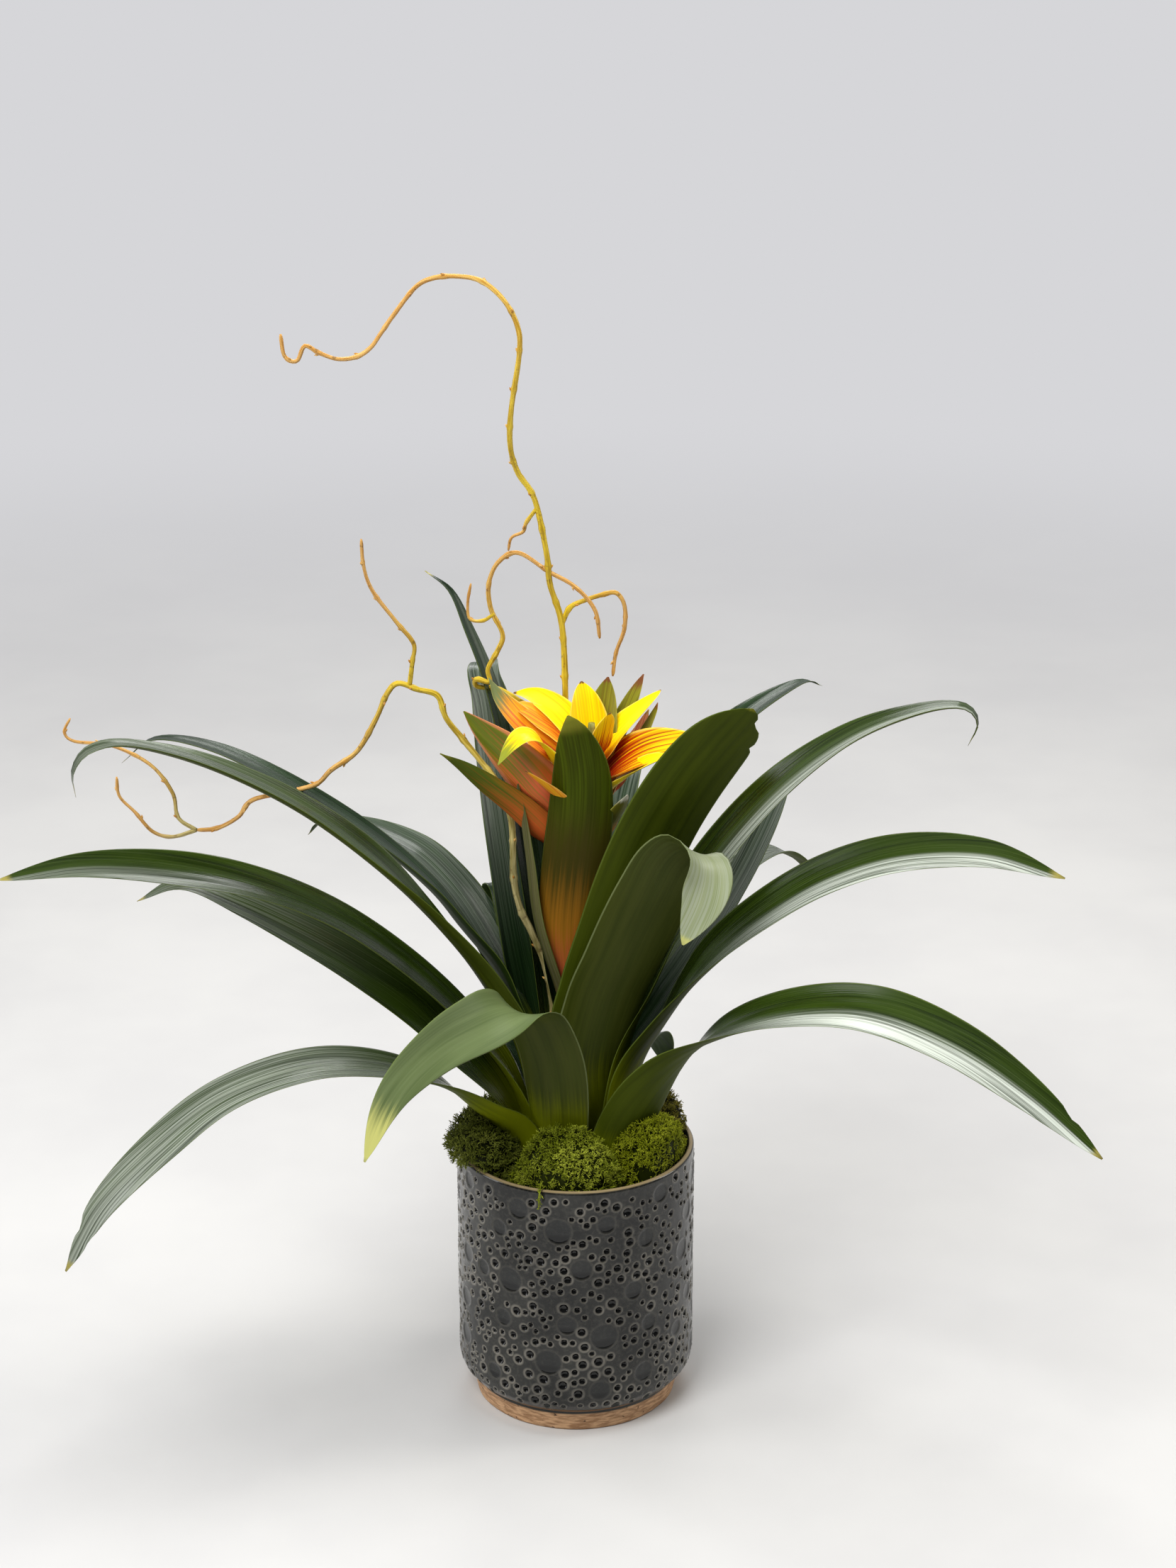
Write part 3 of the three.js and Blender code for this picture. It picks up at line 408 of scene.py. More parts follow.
class Shading:
    """The node tree of a material or of the world, whose nodes are added one call at a time."""

    def __init__(self, owner):
        owner.use_nodes = True
        self.owner = owner
        self.tree = owner.node_tree
        self.shader = self.tree.nodes.get("Principled BSDF")

    def feed(self, socket, value):
        if isinstance(value, bpy.types.NodeSocket):
            self.tree.links.new(value, socket)
        else:
            socket.default_value = value

    def add(self, kind, inputs=None, **settings):
        node = self.tree.nodes.new("ShaderNode" + kind)
        for key, value in settings.items():
            setattr(node, key, value)
        for key, value in (inputs or {}).items():
            self.feed(node.inputs[key], value)
        return node

    def set(self, **sockets):
        """Feeds the shader's sockets: Base_Color stands for its socket Base Color."""
        for key, value in sockets.items():
            self.feed(self.shader.inputs[key.replace("_", " ")], value)

    def here(self):
        return self.add("TexCoord").outputs["Object"]

    def number(self, name):
        return self.add("Attribute", attribute_name=name).outputs["Fac"]

    def vector(self, name):
        return self.add("Attribute", attribute_name=name).outputs["Vector"]

    def parts(self, vector):
        return self.add("SeparateXYZ", {0: vector}).outputs

    def camera_sees(self):
        return self.add("LightPath").outputs["Is Camera Ray"]

    def math(self, operation, a, b=0.0):
        return self.add("Math", {0: a, 1: b}, operation=operation).outputs[0]

    def times(self, a, b):
        return self.math("MULTIPLY", a, b)

    def stretch(self, vector, factors):
        return self.add("VectorMath", {0: vector, 1: factors}, operation="MULTIPLY").outputs[0]

    def length(self, vector):
        return self.add("VectorMath", {0: vector}, operation="LENGTH").outputs["Value"]

    def mix(self, factor, a, b):
        """Goes from a to b; a colour is a socket or (red, green, blue) from 0 to 255."""
        a, b = (tint(*side) if isinstance(side, tuple) else side for side in (a, b))
        return self.add("Mix", {0: factor, 6: a, 7: b}, data_type="RGBA").outputs[2]

    def noise(self, vector, scale=1.0, detail=3.0):
        inputs = {"Vector": vector, "Scale": scale, "Detail": detail, "Roughness": 0.55}
        return self.add("TexNoise", inputs).outputs[0]

    def fit(self, value, low, high, to_low=0.0, to_high=1.0):
        """Maps low..high smoothly to to_low..to_high."""
        inputs = {0: value, 1: low, 2: high, 3: to_low, 4: to_high}
        return self.add("MapRange", inputs, interpolation_type="SMOOTHSTEP").outputs[0]

    def blend(self, noise, a, b):
        """Mixes two colours by a noise."""
        return self.mix(self.fit(noise, 0.35, 0.65), a, b)

    def bump(self, height, distance):
        """Bumps of distance, in millimetres."""
        inputs = {"Height": height, "Distance": distance * MM}
        self.feed(self.shader.inputs["Normal"], self.add("Bump", inputs).outputs[0])


def new_surface(name):
    return Shading(bpy.data.materials.new(name))


# ---------------------------------------------------------------- mesh helpers


def smooth_step(x):
    part = np.clip(x, 0.0, 1.0)
    return part * part * (3 - 2 * part)


def unit(vectors):
    return vectors / np.linalg.norm(vectors, axis=-1, keepdims=True)


def curve_at(rows, t):
    """A Catmull-Rom curve through rows of numbers, at each t from 0 to 1."""
    rows = np.array(rows, float)
    whole = np.vstack([2 * rows[0] - rows[1], rows, 2 * rows[-1] - rows[-2]])
    spans = len(rows) - 1
    index = np.clip(np.floor(t * spans).astype(int), 0, spans - 1)
    f = (t * spans - index)[:, None]
    a, b, c, d = (whole[index + k] for k in range(4))
    square = 2 * a - 5 * b + 4 * c - d
    cube = 3 * b - a - 3 * c + d
    return 0.5 * (2 * b + (c - a) * f + square * f**2 + cube * f**3)


def even_steps(rows, count):
    """Values of t evenly spaced along the curve, and the curve's length."""
    fine = np.linspace(0, 1, 401)
    points = curve_at(rows, fine)[:, :3]
    lengths = np.concatenate([[0], np.cumsum(np.linalg.norm(np.diff(points, axis=0), axis=1))])
    return np.interp(np.linspace(0, lengths[-1], count + 1), lengths, fine), lengths[-1]


def turns(sides):
    """Even angles round a circle."""
    return np.arange(sides) * 2 * math.pi / sides


def turned(radius, height, angles, x=0.0):
    """Points on rings round the Z axis, or round a line at x."""
    across = radius * np.cos(angles)
    points = np.stack([x + across, radius * np.sin(angles), np.broadcast_to(height, across.shape)], -1)
    return points.reshape(-1, 3)


def rings_along(middle, radius, angles, right, front):
    """Points on rings round the points of a line."""
    points = middle[:, None] + (radius * np.cos(angles))[..., None] * right
    return (points + (radius * np.sin(angles))[..., None] * front).reshape(-1, 3)


def ring_faces(rings, size):
    """Quads between closed rings of equal size, with a cap at each end."""
    ring = np.arange(rings - 1)[:, None] * size
    at = np.arange(size)[None, :]
    after = (at + 1) % size
    quads = np.stack([ring + at, ring + after, ring + size + after, ring + size + at], -1)
    last = (rings - 1) * size
    return [*quads.reshape(-1, 4).tolist(), list(range(size - 1, -1, -1)), list(range(last, last + size))]


class Heap:
    """Meshes gathered into one, with the values of its attributes at each point."""

    def __init__(self):
        self.points, self.faces, self.values, self.count = [], [], {}, 0

    def add(self, points, faces, **values):
        self.points.append(points)
        self.faces += [[corner + self.count for corner in face] for face in faces]
        self.count += len(points)
        for key, value in values.items():
            self.values.setdefault(key, []).append(value)

    def joined(self):
        """Its points, faces and attributes."""
        values = {key: np.concatenate(lists) for key, lists in self.values.items()}
        return np.concatenate(self.points), self.faces, values


def make_piece(name, points, faces, materials, node, values=None, sides=None):
    """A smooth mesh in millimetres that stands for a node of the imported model."""
    mesh = bpy.data.meshes.new(name)
    mesh.from_pydata((points * MM).tolist(), [], faces)
    mesh.polygons.foreach_set("use_smooth", np.ones(len(faces), bool))
    for material in materials:
        mesh.materials.append(material)
    if sides is not None:
        mesh.polygons.foreach_set("material_index", sides)
    for key, numbers in (values or {}).items():
        triple = np.size(numbers) == 3 * len(points)
        made = mesh.attributes.new(key, "FLOAT_VECTOR" if triple else "FLOAT", "POINT")
        made.data.foreach_set("vector" if triple else "value", np.ravel(numbers))
    mesh.update()
    piece = bpy.data.objects.new(name, mesh)
    bpy.context.scene.collection.objects.link(piece)
    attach(piece, "root")
    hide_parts(node)


# ---------------------------------------------------------------- blades: leaves and bracts


def crown_height(radius):
    """How high the crown's cone is at this radius."""
    slope = (CROWN_TOP - CROWN_EDGE) / (CROWN_RADIUS - CROWN_TOP_RADIUS)
    return CROWN_TOP - (radius - CROWN_TOP_RADIUS) * slope


def stalk_x(height):
    """How far the flower stalk has leant to the right at this height."""
    return STALK_LEAN * smooth_step((height - STALK_FOOT) / STALK_LEAN_HEIGHT)


def stalk_radius(height):
    part = np.clip((height - HEAD_FOOT) / (HEAD_TOP - HEAD_FOOT), 0, 1)
    return STALK_RADIUS + (HEAD_TIP_RADIUS - STALK_RADIUS) * part


def half_width(blade, v):
    """Half the blade's width at v: narrower at its foot, and tapered to its tip."""
    grown = blade["foot_width"] + (1 - blade["foot_width"]) * smooth_step(v / 0.3)
    return 0.5 * blade["width"] * grown * np.maximum(0, 1 - v ** blade["tip"]) ** 0.8


def half_curl(blade, v):
    """Half the angle the blade curls through at v: it wraps its foot, then is cupped."""
    curl = blade["wrap"] + (blade["cup"] - blade["wrap"]) * smooth_step(v / 0.25)
    return np.radians(curl * (1 - 0.5 * v**4))


def relief(blade, v, s, half, draw):
    """How far the blade's surface stands off its plain arc: long folds and wavy edges."""
    phase = draw.uniform(0, 2 * math.pi, 6)
    across = s * half
    drift = 0.8 * np.sin(2.3 * v + phase[0])
    folds = np.sin(across / 1.9 + drift + phase[1]) + 0.7 * np.sin(across / 1.05 + 1.6 * drift + phase[2])
    edge = np.where(s > 0, np.sin(17 * v + phase[3]), np.sin(14 * v + phase[4]))
    slow = np.where(s > 0, np.sin(6 * v + phase[5]), np.sin(7 * v + phase[0]))
    wave = np.abs(s) ** 3 * (0.5 * edge + slow)
    calm = smooth_step(v / 0.25) * smooth_step((1 - v) / 0.04)
    return calm * (blade["folds"] * folds * (1 - s**4) + blade["wave"] * wave)


def blade_frame(blade, rows):
    """The blade's middle line, the ways across it and out of its upper face, and its length."""
    turn = math.radians(blade["turn"])
    outward = np.array([math.cos(turn), math.sin(turn), 0])
    sideways = np.array([-math.sin(turn), math.cos(turn), 0])
    spine = np.array(blade["spine"], float)

    def place(at):
        row = curve_at(spine, at)
        root = np.array([blade["x"], 0, 0])
        return root + row[:, :1] * outward + row[:, 1:2] * sideways + row[:, 2:3] * [0, 0, 1], row[:, 3]

    t, length = even_steps(spine, rows)
    middle, roll = place(t)
    step = 1e-3
    along = unit(place(np.minimum(1, t + step))[0] - place(np.maximum(0, t - step))[0])
    flat = unit(sideways - (along @ sideways)[:, None] * along)
    angle = np.radians(roll)[:, None]
    across = flat * np.cos(angle) + np.cross(along, flat) * np.sin(angle)
    return middle, across, np.cross(along, across), length


def blade_values(blade, v, s, half, length, seed):
    """What the blade's materials read: the edge, how far along a point is, the grain, and the paint: its
    base, its tip and its painted sheen.
    """
    grain = np.stack([s * half[:, None] / 10, v * length / 10, np.full_like(v, seed)], -1)
    base = 1 - smooth_step(v / blade["base"])
    tip = smooth_step((v - blade["tip_from"]) / (1 - blade["tip_from"]))
    # Painted sheen: where the pale silvery colour that stands in for reflected light lies along and across
    # the blade.
    painted_sheen = blade["painted_sheen"] * smooth_step((v - blade["sheen_from"]) / 0.35)
    painted_sheen = painted_sheen * smooth_step(1 - abs(blade["sheen_side"]) + blade["sheen_side"] * s * 3 + 0.25)
    return {"edge": np.abs(s), "along": v, "grain": grain, "paint": np.stack([base, tip, painted_sheen], -1)}


def make_blade(name, blade, materials, seed):
    """A blade along its spine, cupped towards its upper face, with a closed rounded section.

    Along it, v goes from 0 at its foot to 1 at its tip. Across it, s goes from -1 to 1.
    """
    rows, columns = blade["fine_rows"], blade["fine_columns"]
    middle, across, face, length = blade_frame(blade, rows)
    v = np.linspace(0, 1, rows + 1)
    half = np.maximum(TIP_WIDTH / 2, half_width(blade, v))
    curl = half_curl(blade, v)
    slim = np.minimum(1, 4 * half / blade["width"])

    even = np.linspace(-1, 1, columns + 1)
    s = 0.6 * even + 0.4 * np.sin(even * math.pi / 2)
    v_grid, s_grid = np.meshgrid(v, s, indexing="ij")
    half_grid, curl_grid = half[:, None], curl[:, None]
    for at, spread, side, depth in blade["notches"]:
        near = np.exp(-(((v_grid - at) / spread) ** 2)) * smooth_step(side * s_grid * 2 - 0.6)
        s_grid = s_grid * (1 - depth * near)
    radius = half_grid / curl_grid
    arc = s_grid * curl_grid
    normal = -np.sin(arc)[..., None] * across[:, None] + np.cos(arc)[..., None] * face[:, None]
    centre_line = (radius * np.sin(arc))[..., None] * across[:, None]
    centre_line = centre_line + (radius * (1 - np.cos(arc)))[..., None] * face[:, None] + middle[:, None]
    thick = 0.5 * blade["thickness"] * slim[:, None] * np.sqrt(np.maximum(0, 1 - (s[None, :]) ** 2))
    lift = relief(blade, v_grid, s_grid, half_grid, np.random.default_rng(seed))
    upper = centre_line + (lift + thick)[..., None] * normal
    under = centre_line + (lift - thick)[..., None] * normal

    ring = list(range(columns, -1, -1))
    points = np.concatenate([upper[:, ring], under[:, 1:columns]], axis=1)
    size = points.shape[1]
    s_ring = np.concatenate([s[ring], s[1:columns]])
    s_ring = np.broadcast_to(s_ring, (rows + 1, size))
    v_ring = np.broadcast_to(v[:, None], (rows + 1, size))
    sides = np.array(([0] * columns + [1] * (size - columns)) * rows + [1, 1])
    values = blade_values(blade, v_ring, s_ring, half, length, seed)
    faces = ring_faces(rows + 1, size)
    make_piece(name + "_blade", points.reshape(-1, 3), faces, materials, name, values, sides)


def blade_material(name, look):
    """Leaf tissue: lengthwise streaks, a base and a tip of other colours, a pale edge and a painted silvery
    sheen.
    """
    shading = new_surface(name)
    grain = shading.vector("grain")
    base, tip, painted_sheen = shading.parts(shading.vector("paint"))
    edge = shading.number("edge")
    along = shading.number("along")
    fine = shading.noise(shading.stretch(grain, (9, 0.06, 1)), detail=4)
    broad = shading.noise(shading.stretch(grain, (1.5, 0.1, 1)), detail=2)
    streak = shading.fit(fine, 0.38, 0.62)
    color = shading.blend(broad, look["dark"], look["color"])
    color = shading.mix(shading.times(streak, look["streaks"]), color, look["streak_color"])
    # Painted sheen: the pale silvery colour that stands in for reflected light, streaked by the grain.
    sheen_mask = shading.times(painted_sheen, shading.fit(fine, 0.36, 0.6, 0.15, 1.0))
    color = shading.mix(sheen_mask, color, look["painted_sheen"])
    lick = shading.times(shading.math("SUBTRACT", fine, 0.5), look["flame"])
    for start, end, band in look["bands"]:
        part = shading.fit(shading.math("ADD", along, lick), start, end)
        color = shading.mix(part, band, color)
    color = shading.mix(shading.fit(shading.math("ADD", base, lick), 0.15, 0.85), color, look["base"])
    color = shading.mix(shading.fit(shading.math("ADD", tip, lick), 0.2, 0.8), color, look["tip"])
    rim = shading.fit(edge, look["edge_from"], (1 + look["edge_from"]) / 2, 0, look["edge_amount"])
    color = shading.mix(rim, color, look["edge"])
    low, high = look["roughness"]
    shading.set(Base_Color=color, Roughness=shading.fit(fine, 0.3, 0.7, low, high))
    shading.set(Specular_IOR_Level=look["specular"])
    shading.bump(fine, look["relief"])
    return shading.owner


# The sheen colour of each look is a painted reflection of the light, not a colour of the leaf.
LEAF_UPPER = dict(
    color=(44, 62, 12), dark=(26, 40, 8), streak_color=(60, 78, 22), streaks=0.4, painted_sheen=(206, 212, 200),
    base=(124, 134, 8), tip=(150, 140, 70), edge=(96, 110, 46), edge_from=0.95, edge_amount=0.5,
    roughness=(0.18, 0.3), specular=0.5, relief=0.2, flame=0.7, bands=[],
)
LEAF_UNDER = dict(
    LEAF_UPPER, color=(62, 72, 10), dark=(50, 60, 6), streak_color=(70, 80, 16), streaks=0.3,
    painted_sheen=(84, 94, 50), base=(112, 120, 4), tip=(112, 112, 34), edge_amount=0.6, roughness=(0.5, 0.65),
    specular=0.08, relief=0.1,
)
# Darker copies of the leaf's colours for the leaves at the back: painted shade.
BACK_SHADE = dict(color=(28, 48, 22), dark=(16, 30, 14), streak_color=(44, 66, 36), specular=0.28)
BACK_SHADE_UNDER = dict(color=(42, 60, 20), dark=(30, 46, 14), streak_color=(54, 70, 28))
# Paler copies of the leaf's upper face for the folded leaves, seen on their flaps: painted sheen that
# stands in for the light they reflect, softer on the front leaf.
FOLDED_SHEEN = dict(
    color=(152, 162, 114), dark=(136, 148, 98), streak_color=(152, 162, 116), streaks=0.3,
    tip=(206, 206, 120), roughness=(0.34, 0.46), specular=0.5, relief=0.08,
)
FOLDED_SOFT_SHEEN = dict(FOLDED_SHEEN, color=(106, 122, 76), dark=(90, 106, 62), streak_color=(120, 134, 90))
FOLDED_UNDER = dict(
    color=(60, 66, 18), dark=(50, 58, 10), streak_color=(68, 76, 28), edge=(128, 138, 92), specular=0.12,
)
STALK_BANDS = [(0.5, 0.75, (62, 56, 14)), (0.24, 0.5, (150, 100, 24)), (0.1, 0.3, (196, 96, 56))]
LEAF_LOOKS = dict(
    green=({}, {}),
    back_shade=(BACK_SHADE, BACK_SHADE_UNDER),
    folded_sheen=(FOLDED_SHEEN, FOLDED_UNDER),
    folded_soft_sheen=(FOLDED_SOFT_SHEEN, FOLDED_UNDER),
    stalk_front=(
        {},
        dict(
            color=(70, 84, 6), dark=(54, 64, 4), streak_color=(46, 48, 6), streaks=0.6, bands=STALK_BANDS,
            base=(206, 100, 60), flame=0.25,
        ),
    ),
    stalk_rust=(
        dict(base=(176, 96, 40)),
        dict(color=(90, 104, 26), dark=(74, 86, 24), base=(196, 92, 40), flame=1.2),
    ),
    stalk_grey=(
        dict(base=(150, 100, 60)),
        dict(color=(112, 106, 74), dark=(88, 84, 60), base=(140, 110, 64), streaks=0.6),
    ),
)

YELLOW = dict(
    slot="bract_yellow", color=(255, 234, 6), dark=(255, 218, 4), streak_color=(246, 180, 6), streaks=0.3,
    painted_sheen=(255, 214, 40), base=(214, 96, 10), tip=(112, 72, 30), edge=(255, 240, 130), edge_from=0.9,
    edge_amount=0.3, roughness=(0.36, 0.48), specular=0.3, relief=0.15, flame=1.2, bands=[],
)
FLAMED = dict(YELLOW, color=(255, 214, 10), base=(176, 34, 8), flame=3.2, streaks=0.5)
ORANGE = dict(
    YELLOW, slot="bract_orange", color=(255, 190, 40), dark=(250, 158, 30), streak_color=(226, 110, 40),
    streaks=0.5, base=(206, 70, 30),
)
SALMON = dict(
    ORANGE, color=(240, 170, 110), dark=(232, 140, 90), streak_color=(214, 100, 70), base=(214, 92, 60),
    tip=(170, 130, 70), edge=(250, 214, 180),
)
BRACT_GREEN = dict(
    YELLOW, slot="bract_green", color=(128, 136, 14), dark=(104, 118, 12), streak_color=(96, 104, 14),
    streaks=0.5, base=(226, 104, 56), tip=(96, 112, 20), edge=(226, 140, 96), edge_from=0.72,
    edge_amount=0.8, flame=1.6,
)
DULL_GREEN = dict(
    YELLOW, slot="bract_green", color=(136, 132, 30), dark=(112, 112, 24), streak_color=(108, 100, 24),
    streaks=0.5, base=(196, 116, 30), tip=(112, 66, 36), edge=(200, 190, 90),
)
BRACT_LOOKS = dict(
    yellow=YELLOW,
    flamed=FLAMED,
    yellow_green=dict(YELLOW, tip=(140, 146, 40)),
    orange=ORANGE,
    orange_green=dict(ORANGE, base=(196, 60, 36), tip=(118, 130, 76)),
    salmon=SALMON,
    green=BRACT_GREEN,
    dull=DULL_GREEN,
    olive=dict(DULL_GREEN, color=(120, 122, 40), tip=(236, 232, 214)),
)


def leaf_materials():
    """For each leaf look, the materials of its upper and under side."""
    made = {}
    for name, (upper, under) in LEAF_LOOKS.items():
        made[name] = [
            blade_material(f"leaf_{name}_upper", {**LEAF_UPPER, **upper}),
            blade_material(f"leaf_{name}_under", {**LEAF_UNDER, **under}),
        ]
    return made


def bract_materials():
    """For each bract look, the materials of its inside and outside."""
    made = {}
    for name, look in BRACT_LOOKS.items():
        inner = {**look, "streaks": min(1.0, look["streaks"] * 2)}
        made[name] = [
            blade_material(f"bract_{name}_inner", inner),
            blade_material(f"bract_{name}_outer", look),
        ]
    return made


# What a blade has where its own entry names nothing else.
BLADE_DEFAULTS = dict(
    x=0, tip=4, look="green", base=0.3, tip_from=0.97, painted_sheen=0, sheen_from=0.3, sheen_side=0, wave=0.5,
    folds=0.12, notches=[], fine_rows=90, fine_columns=28,
)


def full_row(row):
    """A spine point's [outward, sideways, height, roll]."""
    if len(row) == 4:
        return list(row)
    return [row[0], 0, row[1], row[2] if len(row) == 3 else 0]


def leaf_blade(leaf):
    """A leaf with its defaults filled in and its foot on the crown."""
    aside = leaf.get("aside", 0)
    seat = math.hypot(leaf["seat"], aside)
    foot = [leaf["seat"], aside, crown_height(seat) + GAP + 0.5, 0]
    blade = {**BLADE_DEFAULTS, "foot_width": 0.9, "thickness": LEAF_THICKNESS, **leaf}
    blade["wrap"] = min(60, math.degrees(0.5 * blade["width"] * blade["foot_width"] / seat))
    return {**blade, "spine": [foot, *map(full_row, leaf["spine"])]}


def bract_blade(bract):
    """A bract or stalk leaf with its defaults filled in and its foot on the flower stalk."""
    spine = [full_row(row) for row in bract["spine"]]
    foot = [stalk_radius(bract["foot"]) + GAP + 0.6, 0, bract["foot"], spine[0][3]]
    blade = {
        **BLADE_DEFAULTS, "x": stalk_x(bract["foot"]), "foot_width": 0.55, "wrap": 65, "look": "yellow",
        "thickness": BRACT_THICKNESS, "tip_from": 0.9, "wave": 0.3, "folds": 0.1,
        "fine_rows": 44, "fine_columns": 20, **bract,
    }
    return {**blade, "spine": [foot, *spine]}


# ---------------------------------------------------------------- pot


def pot_profile():
    """The pot's outline as [radius, height] points, from the middle of its underside round to its floor."""
    inner = POT_RADIUS - POT_WALL
    foot = [[0.05, 0], [20, 0], [40, 0], [56, 0], [FOOT_RADIUS - 1, 0], [FOOT_RADIUS, 1]]
    flare = (CLAY_RADIUS - FOOT_RADIUS) / (CLAY_HEIGHT - 1)
    clay = [[FOOT_RADIUS + flare * (z - 1), z] for z in range(2, CLAY_HEIGHT)]
    knots = [
        (CLAY_HEIGHT, CLAY_RADIUS), (18, POT_RADIUS - 4.5), (23, POT_RADIUS - 1.2),
        (SHOULDER_HEIGHT, POT_RADIUS),
    ]
    heights = np.arange(CLAY_HEIGHT, POT_HEIGHT - 2, 0.95)
    wall = [[float(np.interp(z, *zip(*knots))), float(z)] for z in heights]
    rim_turns = np.radians(np.linspace(0, 180, 11))
    middle, reach = (POT_RADIUS + inner) / 2, POT_WALL / 2
    rim = [[middle + reach * math.cos(a), POT_HEIGHT - 2 + 2 * math.sin(a)] for a in rim_turns]
    inside = [[inner, z] for z in (167, 163, 159, 155, 151, 120, 90, 60, 36)]
    floor = [[inner - 6, 20], [inner - 14, POT_FLOOR + 2]]
    floor += [[radius, POT_FLOOR] for radius in (inner - 22, 20, 0.05)]
    return np.array(foot + clay + wall + rim + inside + floor)


# The shallow discs in the glaze that face the front: [degrees, height, radius].
DISCS = [
    [208, 162, 5.8], [242, 158, 7.2], [231, 141, 5.8], [262, 146, 8.7], [285, 150, 6.1], [306, 135, 6.5],
    [315, 162, 6.5], [206, 110, 6.5], [220, 108, 5.5], [237, 107, 8.7], [273, 120, 7.2], [299, 101, 6.5],
    [233, 79, 6.1], [266, 81, 6.5], [284, 72, 9.0], [308, 75, 6.1], [257, 54, 8.7], [227, 38, 5.8],
    [282, 34, 7.0], [305, 41, 7.0], [333, 113, 7.2], [203, 77, 6.5], [202, 50, 7.2], [328, 60, 5.5],
    [339, 137, 6.5], [340, 79, 5.8],
]

# How many craters the glaze has at most, the smallest one's radius and how much larger they get, and the
# tries that place them and the discs at the back. A seam runs down the glaze at SEAM_ANGLE.
CRATERS = 860
CRATER_RADIUS = 1.8
CRATER_RANGE = 1.8
CRATER_TRIES = 30000
DISC_TRIES = 700
SEAM_ANGLE = 306

# How far a crater is, in its radii, and a disc, in millimetres, where the glaze has none.
NO_HOLE = 3.0
NO_DISC = 4.0

# The last point of the pot's outline that has no glaze.
LAST_BARE_POINT = 16


def crater_field(draw):
    """Craters of random size that keep clear of each other: rows of [arc length, height, radius]."""
    girth = 2 * math.pi * POT_RADIUS
    placed = [[math.radians(angle) * POT_RADIUS, height, radius] for angle, height, radius in DISCS]

    def clear(arc, height, radius, gap):
        others = np.array(placed)
        across = np.abs(others[:, 0] - arc)
        across = np.minimum(across, girth - across)
        return np.all(np.hypot(across, others[:, 1] - height) > others[:, 2] + radius + gap)

    back_start, back_end = math.radians(-18), math.radians(200)
    for _ in range(DISC_TRIES):
        arc = draw.uniform(back_start, back_end) * POT_RADIUS % girth
        height, radius = draw.uniform(33, 163), draw.uniform(5.5, 8.8)
        if clear(arc, height, radius, 9):
            placed.append([arc, height, radius])
    discs = len(placed)
    for _ in range(CRATER_TRIES):
        if len(placed) - discs >= CRATERS:
            break
        arc, height = draw.uniform(0, girth), draw.uniform(20, 168)
        radius = CRATER_RADIUS + CRATER_RANGE * draw.random() ** 1.2
        if clear(arc, height, radius, 0.35):
            placed.append([arc, height, radius])
    return np.array(placed), discs


def glaze_marks(arc, height, draw):
    """For each point, how far it is from a crater and from a disc, and how low in its disc it is."""
    hole = np.full(height.shape, NO_HOLE)
    disc = np.full(height.shape, NO_DISC)
    low = np.zeros(height.shape)
    placed, discs = crater_field(draw)
    girth = 2 * math.pi * POT_RADIUS
    for index, (at, rise, size) in enumerate(placed):
        across = np.abs(arc - at)
        across = np.minimum(across, girth - across)
        away = np.hypot(across, height - rise) - size
        if index < discs:
            nearer = away < disc
            disc = np.where(nearer, away, disc)
            low = np.where(nearer, (rise - height) / size, low)
        else:
            hole = np.minimum(hole, away / size + 1)
    return hole, disc, low


def make_pot():
    """The pot: its glazed wall with craters, discs and a seam, its bare clay foot and its inside."""
    profile = pot_profile()
    sides = 464
    angles = turns(sides)
    radius = np.repeat(profile[:, :1], sides, axis=1)
    height = np.repeat(profile[:, 1:], sides, axis=1)
    wall = (height > CLAY_HEIGHT - 0.5) & (height < POT_HEIGHT - 2) & (radius > POT_RADIUS - 10)
    wall &= np.arange(len(profile))[:, None] < np.argmax(profile[:, 1])
    arc = np.broadcast_to(angles * POT_RADIUS, radius.shape)
    hole, disc, low = glaze_marks(arc, height, np.random.default_rng(SEED))
    sunk = 0.5 * smooth_step(-disc / 1.2) + 0.3 * smooth_step(-disc / 6)
    sunk = sunk - 0.25 * np.exp(-((disc - 0.3) / 0.6) ** 2)
    sunk = sunk + 2.0 * smooth_step((0.82 - hole) / 0.3) - 0.4 * np.exp(-((hole - 1.02) / 0.16) ** 2)
    seam = math.radians(SEAM_ANGLE) * POT_RADIUS
    sunk = sunk + 0.25 * np.exp(-(((arc - seam) / 0.7) ** 2))
    swell = 0.12 * np.sin(3 * angles + 1) * np.sin(height / 21)
    swell = swell + 0.08 * np.sin(7 * angles) * np.sin(height / 9 + 2)
    fade = smooth_step((height - CLAY_HEIGHT - 1) / 4) * smooth_step((POT_HEIGHT - 3 - height) / 3)
    radius = np.where(wall, radius - fade * (sunk - swell), radius)
    clay = height < CLAY_HEIGHT
    radius = np.where(clay & (height > 0.5), radius + 0.15 * np.sin(11 * angles) * np.sin(height), radius)
    glaze = smooth_step((height - CLAY_HEIGHT + 0.6 * np.sin(5 * angles) + 0.3 * np.sin(13 * angles)) / 0.8)
    glaze = np.where(wall | (height > POT_HEIGHT - 3), glaze, np.where(radius > POT_RADIUS - 12, 0.0, 1.0))
    under = np.arange(len(profile))[:, None] <= LAST_BARE_POINT
    glaze = np.where(under, 0.0, np.maximum(glaze, ~wall))
    hole, disc = np.where(wall, hole, NO_HOLE), np.where(wall, disc, NO_DISC)
    values = {"hole": hole, "disc": disc, "low": low, "glaze": glaze}
    points, faces = turned(radius, height, angles), ring_faces(len(profile), sides)
    make_piece("pot_glazed", points, faces, [glaze_material()], "pot", values)


